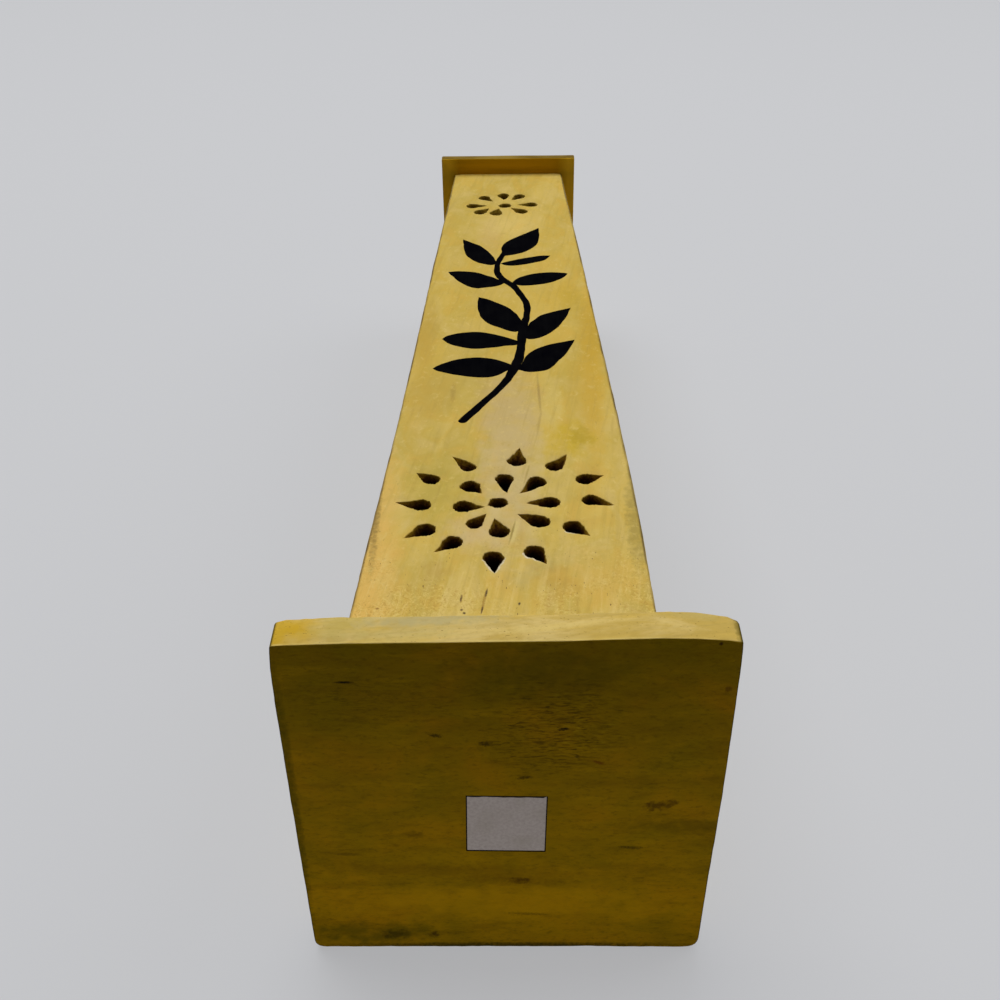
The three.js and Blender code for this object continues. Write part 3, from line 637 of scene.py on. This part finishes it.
class Shell:
    """The points and faces of a piece while it is built. A face's kind is the place of its
    material in the piece's list."""

    def __init__(self):
        self.points = []
        self.faces = []
        self.kinds = []

    def add_points(self, flat, z):
        """Adds flat points at one z, or at a z for each. Returns their places in the list."""
        start = len(self.points)
        heights = z if isinstance(z, list) else [z] * len(flat)
        self.points += [Vector((p.x, p.y, height)) for p, height in zip(flat, heights)]
        return list(range(start, len(self.points)))

    def add_faces(self, faces, kind=0):
        self.faces += faces
        self.kinds += [kind] * len(faces)


def make_piece(name, shell, materials, body, sharp=38, joint=None):
    """A mesh object that rides on a body. Joint is each point's distance from the nearest
    mitre joint."""
    mesh = bpy.data.meshes.new(name)
    mesh.from_pydata([tuple(p) for p in shell.points], [], shell.faces)
    for material in materials:
        mesh.materials.append(material)
    mesh.polygons.foreach_set("material_index", shell.kinds)
    if joint is not None:
        mesh.attributes.new("joint", "FLOAT", "POINT").data.foreach_set("value", joint)
    mesh.validate()
    for polygon in mesh.polygons:
        polygon.use_smooth = True
    mesh.set_sharp_from_angle(angle=math.radians(sharp))
    piece = bpy.data.objects.new(name, mesh)
    bpy.context.scene.collection.objects.link(piece)
    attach(piece, body)
    return piece


def inside(point, ring):
    """Whether a flat point lies in a closed ring of flat points."""
    x, y = point
    hit = False
    for (x1, y1), (x2, y2) in zip(ring, ring[1:] + ring[:1]):
        if (y1 > y) != (y2 > y) and x < (x2 - x1) * (y - y1) / (y2 - y1) + x1:
            hit = not hit
    return hit


def fill(outline, holes, loose):
    """Triangles between an outline and its holes, which all turn left. Returns points,
    triangles, and for each ring the places of its points in the list."""
    points = []
    rings = []
    for ring in [outline, *holes]:
        rings.append(list(range(len(points), len(points) + len(ring))))
        points += [Vector(p) for p in ring]
    points += [Vector(p) for p in loose]
    found, _, triangles, sources, _, owners = delaunay_2d_cdt(points, [], rings, 1, 1e-7)
    place = {old: new for new, olds in enumerate(sources) for old in olds}
    kept = [tuple(triangle) for triangle, owner in zip(triangles, owners) if list(owner) == [0]]
    return found, kept, [[place[i] for i in ring] for ring in rings]


def bridge(ring, next_ring):
    """Four-sided faces between two rings of as many points."""
    count = len(ring)
    return [(ring[i], ring[(i + 1) % count], next_ring[(i + 1) % count], next_ring[i])
            for i in range(count)]


def grown(ring, amount):
    """A ring that turns left all the way round, moved outwards along its own normals, by one
    amount or by an amount for each point."""
    count = len(ring)
    amounts = amount if isinstance(amount, list) else [amount] * count
    moved = []
    for i in range(count):
        along = ring[(i + 1) % count] - ring[i - 1]
        moved.append(ring[i] + Vector((along.y, -along.x)).normalized() * amounts[i])
    return moved


def heading(angle):
    """The flat direction at an angle."""
    return Vector((math.cos(angle), math.sin(angle)))


def circle(middle, radius, steps):
    return [Vector(middle) + heading(2 * math.pi * i / steps) * radius for i in range(steps)]


def rectangle(low_x, low_y, high_x, high_y):
    """The corners of a flat rectangle, turning left."""
    return [(low_x, low_y), (high_x, low_y), (high_x, high_y), (low_x, high_y)]


def bearing_point(middle, bearing, reach):
    return Vector(middle) + heading(math.radians(bearing)) * reach * FLOWER_REACH


def petal_ring(middle, petal, seed, size):
    """A petal hole's outline and its drilled round, as two rings of flat points."""
    centre = bearing_point(middle, petal[0], petal[1])
    point = bearing_point(middle, petal[2], petal[3])
    way = math.atan2(point.y - centre.y, point.x - centre.x)
    radius = PETAL_RADIUS * size * (1 + wobble(seed * 3.7, 1.3, 0, 1, 0.12))
    length = max((point - centre).length, radius * 1.2)
    spread = math.acos(radius / length)
    lean = wobble(seed * 2.3, 7.1, 2, 1, 0.22)
    outline, drilled = [], []
    for i in range(RING_POINTS):
        angle = 2 * math.pi * i / RING_POINTS
        off = min(angle, 2 * math.pi - angle)
        distance = radius / math.cos(spread - off) if off < spread else radius
        place = Vector((math.cos(angle) * 1.6, math.sin(angle) * 1.6, seed * 5.1))
        rough = 1 + 0.11 * noise.noise(place) + 0.12 * noise.noise(place * 3.4)
        bent = way + angle + lean * max(distance / radius - 1, 0.0)
        outline.append(centre + heading(bent) * distance * rough)
        short = min(distance, radius * 1.08) * (0.93 + 0.05 * noise.noise(place * 2))
        drilled.append(centre + heading(way + angle) * short)
    return outline, drilled


def chip_widths(outline, chip):
    """How far bare wood has chipped off outside each point of a hole's outline."""
    if chip is None:
        return [0.0] * len(outline)
    bearing, span, width = chip
    middle = sum(outline, Vector((0, 0))) / len(outline)
    widths = []
    for p in outline:
        angle = math.degrees(math.atan2(p.y - middle.y, p.x - middle.x))
        away = abs((angle - bearing + 180) % 360 - 180) / span
        rough = 1 + wobble(p.x, p.y, 0, 0.9 * MM, 0.5)
        widths.append(width * MM * max(1 - away ** 2, 0.0) ** 0.5 * rough if away < 1 else 0.0)
    return widths


def make_petals():
    """All the holes of the front board, as (outline, drilled round, chipped widths, small)."""
    petals = []
    for i, petal in enumerate(BIG_PETALS):
        outline, drilled = petal_ring(BIG_FLOWER, petal, i, SLIM_PETALS.get(i, 1.0))
        petals.append((outline, drilled, chip_widths(outline, CHIPS.get(i)), False))
    for i, petal in enumerate(SMALL_PETALS):
        outline, drilled = petal_ring(SMALL_FLOWER, petal, i + 40, SMALL_PETAL_SIZE)
        petals.append((outline, drilled, chip_widths(outline, None), True))
    return petals


def corner_round_at(corner, height):
    """How far a long corner of the tower is rounded, a little different all the way up."""
    worn = 1 + wobble(corner * 9.0, 0, height / (14 * MM), 1, 0.5)
    worn += wobble(corner * 5.0, 3, height / (3.5 * MM), 1, 0.3)
    return CORNER_ROUND * max(worn, 0.3)


def hand_planed(p):
    """Moves a point of the tower's outer side to where the planed wood really ends."""
    height = p.z - wall_low.z
    out = between(RIGHT_OUT if p.x > 0 else LEFT_OUT, height / MM) * MM
    share = min(max((abs(p.x) - half_at(height)) / WALL + 1, 0.0), 1.0)
    return p + Vector((out * share * (1 if p.x > 0 else -1), 0, 0))


class Board(Shell):
    """One mitred board of the tower. Its points are drawn as seen from outside: x to the
    right, then height, then depth into the wood."""

    OUTER, INNER, SMALL_HOLE, BARE = range(4)

    def __init__(self, turns):
        super().__init__()
        self.turns = turns
        self.turn = Matrix.Rotation(turns * math.pi / 2, 3, "Z")

    def placed(self, p):
        return hand_planed(self.turn @ Vector((p.x, p.z - half_at(p.y), wall_low.z + p.y)))

    def radius(self, height, side):
        corner = (self.turns + (1 if side > 0 else 0)) % 4
        return corner_round_at(corner, height)

    def edge(self, height, side):
        return half_at(height) - self.radius(height, side) * (1 - math.sqrt(0.5))

    def depth(self, x, height):
        """How deep the outer face lies at a place: round at the long edges, else nearly flat."""
        radius = self.radius(height, x)
        into = half_at(height) - abs(x)
        if into < radius:
            return radius - math.sqrt(max(radius ** 2 - (radius - into) ** 2, 0.0)) + FACE_DEPTH
        fade = min((into - radius) / (3 * MM), 1.0)
        return FACE_DEPTH + wobble(x, self.turns * 0.1, height, 22 * MM, FACE_DEPTH) * fade

    def outline(self, inner):
        """The board's outline, on its outer face or on its inner face, with as many points."""
        columns = [-1 + i / BOARD_COLUMNS for i in range(2 * BOARD_COLUMNS)]
        rows = [HEIGHT * i / BOARD_ROWS for i in range(BOARD_ROWS)]
        ring = [(c, 0.0) for c in columns] + [(1.0, row) for row in rows]
        ring += [(-c, HEIGHT) for c in columns] + [(-1.0, HEIGHT - row) for row in rows]
        flat = []
        for c, height in ring:
            reach = half_at(height) - WALL if inner else self.edge(height, c)
            flat.append(Vector((c * reach, height)))
        return flat

    def loose_points(self, rings):
        """Points that carry the round edges and the slight unevenness of the face."""
        loose = []
        for i in range(1, BOARD_ROWS):
            row = HEIGHT * i / BOARD_ROWS
            for side in (-1, 1):
                radius = self.radius(row, side)
                for share in EDGE_SHARES:
                    loose.append(Vector((side * (half_at(row) - share * radius), row)))
            if i % 2:
                for c in range(1 - BOARD_COLUMNS, BOARD_COLUMNS):
                    loose.append(Vector((c / BOARD_COLUMNS * (half_at(row) - 3.5 * MM), row)))
        near = [[tuple(p) for p in grown(ring, 1.3 * MM)] for ring in rings]
        return [p for p in loose if not any(inside(p, ring) for ring in near)]

    def make(self, petals, nails):
        nail_rings = [circle(nail, NAIL_HOLE, NAIL_HOLE_STEPS) for nail in nails]
        rims = [grown(outline, [LIP_WIDTH + chip for chip in chips]) for outline, _, chips, _ in petals]
        flat, triangles, rings = fill(self.outline(False), rims + nail_rings,
                                      self.loose_points([petal[0] for petal in petals] + nail_rings))
        self.add_points(flat, [self.depth(p.x, p.y) for p in flat])
        self.add_faces(triangles, self.OUTER)
        lips = [self.make_lip(ring, petal) for ring, petal in zip(rings[1:], petals)]
        for ring, nail_ring in zip(rings[1 + len(petals):], nail_rings):
            floor = self.add_points(grown(nail_ring, -0.12 * MM), NAIL_HOLE_DEPTH)
            self.add_faces(bridge(ring, floor) + [tuple(floor)], self.INNER)
        drills = [self.make_hole(lip, petal) for lip, petal in zip(lips, petals)]
        flat, triangles, inner_rings = fill(self.outline(True), [petal[1] for petal in petals], [])
        inner = self.add_points(flat, WALL)
        self.add_faces([(inner[c], inner[b], inner[a]) for a, b, c in triangles], self.INNER)
        for last, ring in zip(drills, inner_rings[1:]):
            self.add_faces(bridge(last, [inner[i] for i in ring]), self.INNER)
        self.add_faces(bridge([inner[i] for i in inner_rings[0]], rings[0]), self.INNER)
        return self

    def make_lip(self, rim, petal):
        """The hole's rounded lip, bare where the wood has chipped. Returns its inner ring."""
        outline, _, chips, _ = petal
        middle = self.add_points(grown(outline, [0.07 * MM + 0.3 * chip for chip in chips]), 0.12 * MM)
        lip = self.add_points(outline, LIP_DEPTH)
        for near, far in ((rim, middle), (middle, lip)):
            for face, chip in zip(bridge(near, far), chips):
                self.add_faces([face], self.BARE if chip > BARE_CHIP else self.OUTER)
        return lip

    def make_hole(self, lip, petal):
        """The walls of a hole: a slope from the petal's outline to its drilled round."""
        outline, drill, _, small = petal
        last = lip
        for share in (0.15, 0.35, 0.6, 0.8):
            blend = min(share * 1.7, 1.0)
            depth = LIP_DEPTH + (WALL - LIP_DEPTH) * share
            ring = self.add_points([a.lerp(b, blend) for a, b in zip(outline, drill)], depth)
            self.add_faces(bridge(last, ring), self.SMALL_HOLE if small else self.INNER)
            last = ring
        return last


def nail_places(turns):
    """Where brad heads show on one board, as the construction has them."""
    turn_back = Matrix.Rotation(-turns * math.pi / 2, 3, "Z")
    places = []
    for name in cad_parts:
        if name.startswith(("corner_brad", "foot_brad")):
            low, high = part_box(name)
            low, high = turn_back @ low, turn_back @ high
            front = min(low.y, high.y)
            height = (low.z + high.z) / 2 - wall_low.z
            if front < -half_at(height) + 1.5 * MM and abs(low.y - high.y) > 8 * MM:
                places.append(((low.x + high.x) / 2, height))
    return places


def make_boards():
    inner = hole_wood("board_inner_wood")
    # A lighter copy of the inner wood for the small flower's holes: painted light
    small = hole_wood("small_hole_wood", (164, 136, 44), (132, 104, 32), (98, 74, 22))
    bare = bare_wood("chipped_wood")
    for turns, side in enumerate(("front", "right", "back", "left")):
        outer = board_wood(f"{side}_board_wood", 11.0 * turns, side == "front")
        board = Board(turns).make(make_petals() if side == "front" else [], nail_places(turns))
        joint = [half_at(p.y) - abs(p.x) for p in board.points]
        board.points = [board.placed(p) for p in board.points]
        piece = make_piece(f"{side}_board", board, [outer, inner, small, bare], "tower",
                           joint=joint)
        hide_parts(f"{side}_panel")


def rounded_outline(left, right, front, back, corners, step):
    """A closed outline, turning left: front side, right, back, left. Each side is a function of
    the place along it. Corners are the radii at front left, front right, back right, back left."""
    def meet(side, across):
        x, y = 0.0, 0.0
        for _ in range(4):
            x = side(y)
            y = across(x)
        return Vector((x, y))

    square = [meet(left, front), meet(right, front), meet(right, back), meet(left, back)]
    sides = (front, right, back, left)
    ring = []
    for i, corner in enumerate(square):
        before = (square[i - 1] - corner).normalized()
        after = (square[(i + 1) % 4] - corner).normalized()
        for k in range(6):
            t = k / 5
            ring.append(corner + before * corners[i] * (1 - t) ** 2 + after * corners[i] * t ** 2)
        start = corner + after * corners[i]
        end = square[(i + 1) % 4] - after * corners[(i + 1) % 4]
        count = int((end - start).length / step)
        for k in range(1, count):
            p = start.lerp(end, k / count)
            if i % 2:
                p.x = sides[i](p.y)
            else:
                p.y = sides[i](p.x)
            ring.append(p)
    return ring


def straight_outline(left, right, front, back, corner):
    """A closed outline with straight sides and one radius for its corners."""
    sides = [lambda _, place=place: place for place in (left, right, front, back)]
    return rounded_outline(*sides, (corner,) * 4, 1.6 * MM)


def round_profile(radius):
    """A quarter round between a flat face and a side: (way in from the side, way from the face)."""
    return [(radius * (1 - math.sin(a)), radius * (1 - math.cos(a)))
            for a in (math.pi / 8 * i for i in range(5))]


class Slab(Shell):
    """A board between two heights. Each edge has a profile, stretched by the wear at each
    point. Holes are (ring, depth) and end inside the board."""

    def __init__(self, outline, low, high, wear):
        super().__init__()
        self.outline = outline
        self.low, self.high = low, high
        self.wear = wear
        self.half_x = max(abs(p.x) for p in outline)
        self.half_y = max(abs(p.y) for p in outline)

    def shrunk(self, inset, end):
        return [Vector((p.x * (1 - inset * self.wear(p, end) / self.half_x),
                        p.y * (1 - inset * self.wear(p, end) / self.half_y))) for p in self.outline]

    def cap(self, inset, end, holes):
        """A flat face with its holes, whose faces are of the second kind. Returns its ring."""
        down = end == "low"
        z = self.low if down else self.high
        flat, triangles, rings = fill(self.shrunk(inset, end), [hole[0] for hole in holes], [])
        places = self.add_points(flat, z)
        self.add_faces([tuple(places[i] for i in ((a, c, b) if down else (a, b, c)))
                        for a, b, c in triangles])
        for ring, (flat_ring, depth) in zip(rings[1:], holes):
            first = [places[i] for i in ring]
            last = self.add_points(flat_ring, z + depth if down else z - depth)
            self.add_faces(bridge(last, first) if down else bridge(first, last), 1)
            self.add_faces([tuple(reversed(last)) if down else tuple(last)], 1)
        return [places[i] for i in rings[0]]

    def ring(self, inset, way, end):
        worn = [self.wear(p, end) for p in self.outline]
        heights = [self.low + way * w if end == "low" else self.high - way * w for w in worn]
        return self.add_points(self.shrunk(inset, end), heights)

    def make(self, low_edge, high_edge, low_holes=(), high_holes=()):
        last = self.cap(low_edge[0][0], "low", low_holes)
        steps = [(inset, rise, "low") for inset, rise in low_edge[1:]]
        steps += [(inset, drop, "high") for inset, drop in reversed(high_edge[1:])]
        for inset, way, end in steps:
            ring = self.ring(inset, way, end)
            self.add_faces(bridge(last, ring))
            last = ring
        self.add_faces(bridge(last, self.cap(high_edge[0][0], "high", high_holes)))
        return self


def slip_outline(gap, torn=0.0):
    """The paper slip's place, as the construction has it. Torn is how far in its front edge is
    torn off unevenly, in millimetres."""
    middle = Vector(((slip_low.x + slip_high.x) / 2, (slip_low.y + slip_high.y) / 2))
    half = Vector(SLIP_HALF) * MM + Vector((gap, gap))
    turn = Matrix.Rotation(math.radians(SLIP_TURN), 2)
    corners = [Vector(corner) for corner in rectangle(-1, -1, 1, 1)]
    ring = []
    for i, corner in enumerate(corners):
        for k in range(SLIP_STEPS):
            p = corner.lerp(corners[(i + 1) % 4], k / SLIP_STEPS)
            p = Vector((p.x * half.x, p.y * half.y))
            if i == 0:
                p.y += torn * MM * (1 + wobble(k * 0.3, 3.3, 0, 1, 1))
            ring.append(middle + turn @ p)
    return ring


def make_foot():
    def side(table, sign):
        return lambda place: sign * between(table, place / MM) * MM

    ring = rounded_outline(side(FOOT_LEFT, -1), side(FOOT_RIGHT, 1), side(FOOT_FRONT, 1),
                           side(FOOT_BACK, 1), FOOT_CORNERS, 1.2 * MM)
    ring = [p * (1 - wobble(p.x, p.y, 0, 7 * MM, 0.0015)) for p in ring]
    front_corner = Vector((foot_high.x, foot_low.y))

    def wear(p, end):
        rough = 1 + wobble(p.x, p.y, 4 * MM, 6 * MM, 0.5)
        rough += wobble(p.x, p.y, 9 * MM, 1.7 * MM, 0.45)
        if end == "low":
            return rough
        near = max(0.0, 1 - (Vector((abs(p.x), p.y)) - front_corner).length / (10 * MM))
        return rough * (1 + 2.2 * near)

    slab = Slab(ring, foot_low.z, foot_high.z, wear)
    low_edge, high_edge = (round_profile(radius) for radius in FOOT_EDGES)
    slab.make(low_edge, high_edge, low_holes=[(slip_outline(RECESS_GAP), RECESS_DEPTH)])
    # Painted shade: the recess round the paper slip is coloured dark
    painted_shade = raw_wood("recess_painted_shade", (60, 46, 14), (34, 26, 8))
    piece = make_piece("foot_board", slab, [foot_wood("foot_board_wood"), painted_shade], "tower")
    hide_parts("base_plate")


def make_slip():
    flat, triangles, rings = fill(slip_outline(0.0, SLIP_TORN), [], [])
    shell = Shell()
    low = shell.add_points(flat, slip_low.z)
    high = shell.add_points(flat, slip_high.z)
    shell.add_faces([(low[a], low[c], low[b]) for a, b, c in triangles])
    shell.add_faces([(high[a], high[b], high[c]) for a, b, c in triangles])
    shell.add_faces(bridge(rings[0], [high[i] for i in rings[0]]))
    piece = make_piece("paper_slip", shell, [paper("slip_paper")], "tower")
    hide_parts("label_slip")


def make_lid():
    def wear(p, end):
        scale, size = (6 * MM, 0.5) if end == "low" else (14 * MM, 0.12)
        return 1 + wobble(p.x, p.y, 9 * MM, scale, size)

    half = lid_high.x - LID_GAP
    ring = straight_outline(-half, half, lid_low.y + LID_GAP, lid_high.y - LID_GAP, LID_CORNER)
    bevel = [(inset * MM, drop * MM) for inset, drop in LID_BEVEL]
    nails = [(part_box(name)[0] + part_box(name)[1]) / 2 for name in ("lid_brad_left", "lid_brad_right")]
    holes = [(circle((nail.x, nail.y), NAIL_HOLE, NAIL_HOLE_STEPS), NAIL_HOLE_DEPTH) for nail in nails]
    slab = Slab(ring, lid_low.z, lid_high.z, wear)
    slab.make(round_profile(LID_EDGE), bevel, high_holes=holes)
    piece = make_piece("lid_board", slab, [lid_wood("lid_board_wood"), raw_wood("nail_hole_wood")],
                       "lid")
    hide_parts("lid_plate")


def make_plug():
    def wear(p, _):
        return 1 + wobble(p.x, p.y, 2 * MM, 5 * MM, 0.4)

    ring = straight_outline(-plug_high.x, plug_high.x, plug_low.y, plug_high.y, PLUG_CORNER)
    radius, depth, steps = STICK_HOLE
    slab = Slab(ring, plug_low.z, plug_high.z, wear)
    low_edge, high_edge = (round_profile(edge) for edge in PLUG_EDGES)
    slab.make(low_edge, high_edge, low_holes=[(circle((0, 0), radius, steps), depth)])
    piece = make_piece("plug_block", slab,
                       [raw_wood("plug_wood"), raw_wood("stick_hole_wood", (120, 88, 50), (84, 58, 30))],
                       "lid")
    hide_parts("lid_plug")


def turned(profile, steps):
    """A turned shape round Z from a profile of (radius, z) that starts and ends on the axis."""
    shell = Shell()
    (foot,), *rings, (top,) = [shell.add_points(circle((0, 0), radius, steps if radius else 1), z)
                               for radius, z in profile]
    pairs = [(i, (i + 1) % steps) for i in range(steps)]
    shell.add_faces([(foot, rings[0][j], rings[0][i]) for i, j in pairs])
    for ring, next_ring in zip(rings, rings[1:]):
        shell.add_faces(bridge(ring, next_ring))
    shell.add_faces([(top, rings[-1][i], rings[-1][j]) for i, j in pairs])
    return shell


def make_brads(steel):
    """Wire nails with slightly domed heads, each where the construction has it."""
    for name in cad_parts:
        if "brad" not in name:
            continue
        low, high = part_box(name)
        size = high - low
        axis = max(range(3), key=lambda i: size[i])
        length = size[axis]
        middle = (low + high) / 2
        in_lid = name.startswith("lid")
        out = Vector((0, 0, 0))
        out[axis] = 1 if in_lid or middle[axis] > 0 else -1
        head = middle + out * length / 2
        profile = [(0, -length), (0.12 * MM, -length + 0.1 * MM), (BRAD_SHAFT, -length + 1.5 * MM),
                   (BRAD_SHAFT, -0.75 * MM), (BRAD_SHAFT * 1.15, -0.6 * MM)]
        profile += [(BRAD_HEAD * share, z * MM) for share, z in BRAD_TOP] + [(0, 0)]
        brad = turned(profile, BRAD_STEPS)
        turn = Vector((0, 0, 1)).rotation_difference(out).to_matrix()
        shift = Vector((0, 0, 0)) if in_lid else hand_planed(head) - head
        brad.points = [turn @ p + head + shift for p in brad.points]
        piece = make_piece(name.replace("brad", "wire_brad"), brad, [steel], "lid" if in_lid else "tower")
        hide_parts(name)


def curve(knots, steps):
    """A smooth line through its knots, as far as the last one, which is left out."""
    line = []
    for i in range(len(knots) - 1):
        p0, p1, p2, p3 = (knots[min(max(k, 0), len(knots) - 1)] for k in range(i - 1, i + 3))
        for k in range(steps):
            t = k / steps
            line.append(0.5 * (2 * p1 + (p2 - p0) * t + (2 * p0 - 5 * p1 + 4 * p2 - p3) * t ** 2
                               + (3 * p1 - p0 - 3 * p2 + p3) * t ** 3))
    return line


def hand(p, seed):
    """The brush's unsteadiness, in millimetres."""
    x, y = p.x / 3, p.y / 3
    return Vector((wobble(x, y, seed, 1, 1), wobble(x, y, seed + 50, 1, 1))) * BRUSH_SWAY


def leaf_ring(leaf, seed):
    """A leaf's outline, pointed at its base and at its tip, the point farthest from the base."""
    knots = [Vector(p) for p in leaf]
    tip = max(range(len(knots)), key=lambda i: (knots[i] - knots[0]).length)
    there = curve(knots[:tip + 1], LEAF_STEPS)
    back = curve(knots[tip:] + knots[:1], LEAF_STEPS)
    return [p + hand(p, seed) for p in there + back]


def stem_ring():
    """The stem as one ribbon through its points, with a round lower end."""
    knots = [Vector(p) for p in STEM]
    path = curve(knots, STEM_STEPS) + knots[-1:]
    left, right = [], []
    for i, p in enumerate(path):
        along = path[min(i + 1, len(path) - 1)] - path[max(i - 1, 0)]
        normal = Vector((-along.y, along.x)).normalized() * p.z / 2
        flat = Vector((p.x, p.y))
        left.append(flat + normal + hand(flat + normal, 3))
        right.append(flat - normal + hand(flat - normal, 3))
    start = Vector((path[0].x, path[0].y))
    across = (right[0] - left[0]) / 2
    behind = Vector((across.y, -across.x))
    cap = [start - across * math.cos(a) + behind * math.sin(a)
           for a in (math.pi * i / 8 for i in range(1, 8))]
    return cap + right + left[::-1]


def make_branch():
    """The painted branch: one thin layer of paint over the front board."""
    rings = [stem_ring()] + [leaf_ring(leaf, i * 7.3) for i, leaf in enumerate(LEAVES)]
    flat, outlines = [], []
    for ring in rings:
        outlines.append(list(range(len(flat), len(flat) + len(ring))))
        flat += ring
    flat, _, triangles, _, _, _ = delaunay_2d_cdt(flat, [], outlines, 1, 1e-4)
    board = Board(0)
    count = len(flat)
    wood = [board.depth(p.x * MM, p.y * MM) for p in flat]
    layer = Shell()
    layer.points = [board.placed(Vector((p.x * MM, p.y * MM, d + side * PAINT_HALF)))
                    for side in (-1, 1) for p, d in zip(flat, wood)]
    sides = set()
    for a, b, c in triangles:
        if (flat[b] - flat[a]).cross(flat[c] - flat[a]) < 0:
            b, c = c, b
        layer.add_faces([(a, b, c), (a + count, c + count, b + count)])
        sides.update(((a, b), (b, c), (c, a)))
    for a, b in sorted(sides):
        if (b, a) not in sides:
            layer.add_faces([(b, a, a + count, b + count)])
    make_piece("leaf_branch", layer, [black_paint("black_leaf_paint")], "tower", sharp=60)


def dress_frame_nodes(steel):
    """Finishes for the nodes that keep their own shape."""
    brass = metal("dull_brass", (190, 156, 84), (136, 106, 52), 0.38)
    block = raw_wood("block_wood")
    looks = {"ash_plate": brass, "ash_plate_pin": brass, "floor_screw_left": steel,
             "floor_screw_right": steel}
    for name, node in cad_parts.items():
        node.data.materials.clear()
        node.data.materials.append(looks.get(name, block))


def stage_material(name, tone):
    """Shows from its front only, and only to the camera, in gloss and through glass, so that it
    throws no light back. Part of its look is its own light, so that shadows on it stay soft."""
    r = Recipe(name)
    path = r.add("ShaderNodeLightPath").outputs
    seen = r.math("MAXIMUM", path["Is Camera Ray"], path["Is Glossy Ray"])
    seen = r.math("MAXIMUM", seen, path["Is Transmission Ray"])
    behind = r.add("ShaderNodeNewGeometry").outputs["Backfacing"]
    matt = r.add("ShaderNodeBsdfDiffuse", {"Color": tone})
    own = r.add("ShaderNodeEmission", {"Color": tone, "Strength": 1.0})
    surface = r.add("ShaderNodeMixShader", {0: STAGE_GLOW, 1: matt.outputs[0], 2: own.outputs[0]})
    clear = r.add("ShaderNodeBsdfTransparent")
    shows = r.math("SUBTRACT", seen, behind, clamp=True)
    mix = r.add("ShaderNodeMixShader", {0: shows, 1: clear.outputs[0], 2: surface.outputs[0]})
    r.add("ShaderNodeOutputMaterial", {"Surface": mix.outputs[0]})
    return r.material


def make_stage():
    """A pale floor under the standing tower, open under the foot, and a pale backdrop close
    behind its back. Each shows from its own front only."""
    rim = rectangle(-FLOOR_REACH, -FLOOR_REACH, FLOOR_REACH, FLOOR_REACH)
    side = foot_high.x - 2.6 * MM
    opening = rectangle(-side, foot_low.y + MM, side, foot_high.y - MM)
    floor = [(x, y, -0.05 * MM) for x, y in rim + opening]
    back = foot_high.y + 0.3 * MM
    wall = [(x, back, z) for x, z in rectangle(-BACKDROP_HALF, BACKDROP_LOW, BACKDROP_HALF, BACKDROP_HIGH)]
    around = bridge([0, 1, 2, 3], [4, 5, 6, 7])
    for name, corners, faces, tone in (("floor", floor, around, colour(206, 206, 207)),
                                       ("backdrop", wall, [(0, 1, 2, 3)], colour(203, 204, 207))):
        mesh = bpy.data.meshes.new(name)
        mesh.from_pydata(corners, [], faces)
        mesh.materials.append(stage_material(name + "_matt", tone))
        sheet = bpy.data.objects.new(name, mesh)
        bpy.context.scene.collection.objects.link(sheet)


def make_camera():
    """The photo's camera. It looks up the tower, with the tower's front upwards."""
    data = bpy.data.cameras.new("camera")
    data.sensor_width = SENSOR
    data.lens = SENSOR * FOCAL_PIXELS / FRAME_PIXELS
    data.clip_start = 10 * MM
    camera = bpy.data.objects.new("camera", data)
    turn = Matrix.Rotation(math.pi - CAMERA_PITCH, 4, "X")
    turn = turn @ Matrix.Rotation(CAMERA_YAW, 4, "Y") @ Matrix.Rotation(-CAMERA_ROLL, 4, "Z")
    camera.matrix_world = Matrix.Translation(CAMERA_PLACE) @ turn
    bpy.context.scene.collection.objects.link(camera)
    bpy.context.scene.camera = camera


def make_lamps():
    """Soft light from the front, the side and behind, which the camera doesn't see itself."""
    for name, place, target, size, power in LAMPS:
        data = bpy.data.lights.new(name, "AREA")
        data.shape = "RECTANGLE"
        data.size, data.size_y = size
        data.energy = power
        lamp = bpy.data.objects.new(name, data)
        lamp.location = place
        lamp.rotation_mode = "QUATERNION"
        lamp.rotation_quaternion = (Vector(target) - Vector(place)).to_track_quat("-Z", "Y")
        lamp.visible_camera = False
        bpy.context.scene.collection.objects.link(lamp)


def make_world():
    """A plain pale world, which gives less light from below than from above."""
    world = bpy.data.worlds.new("studio")
    bpy.context.scene.world = world
    world.use_nodes = True
    n = Nodes(world.node_tree)
    way = n.add("ShaderNodeTexCoord").outputs["Generated"]
    up = n.add("ShaderNodeSeparateXYZ", {0: way}).outputs[2]
    lit = n.add("ShaderNodeBackground", {"Strength": n.level(up, -0.5, 0.3, WORLD_BELOW, WORLD_ABOVE)})
    seen = n.add("ShaderNodeBackground", {"Color": colour(206, 207, 209)})
    path = n.add("ShaderNodeLightPath").outputs
    any_seen = n.math("MAXIMUM", path["Is Camera Ray"], path["Is Transmission Ray"])
    mix = n.add("ShaderNodeMixShader", {0: any_seen, 1: lit.outputs[0], 2: seen.outputs[0]})
    n.add("ShaderNodeOutputWorld", {"Surface": mix.outputs[0]})


make_camera()
make_stage()
make_lamps()
make_world()
steel = metal("dull_wire", (150, 146, 138), (96, 84, 70), 0.42)
dress_frame_nodes(steel)
make_boards()
make_foot()
make_slip()
make_lid()
make_plug()
make_brads(steel)
make_branch()

bpy.context.scene.view_settings.view_transform = "Standard"
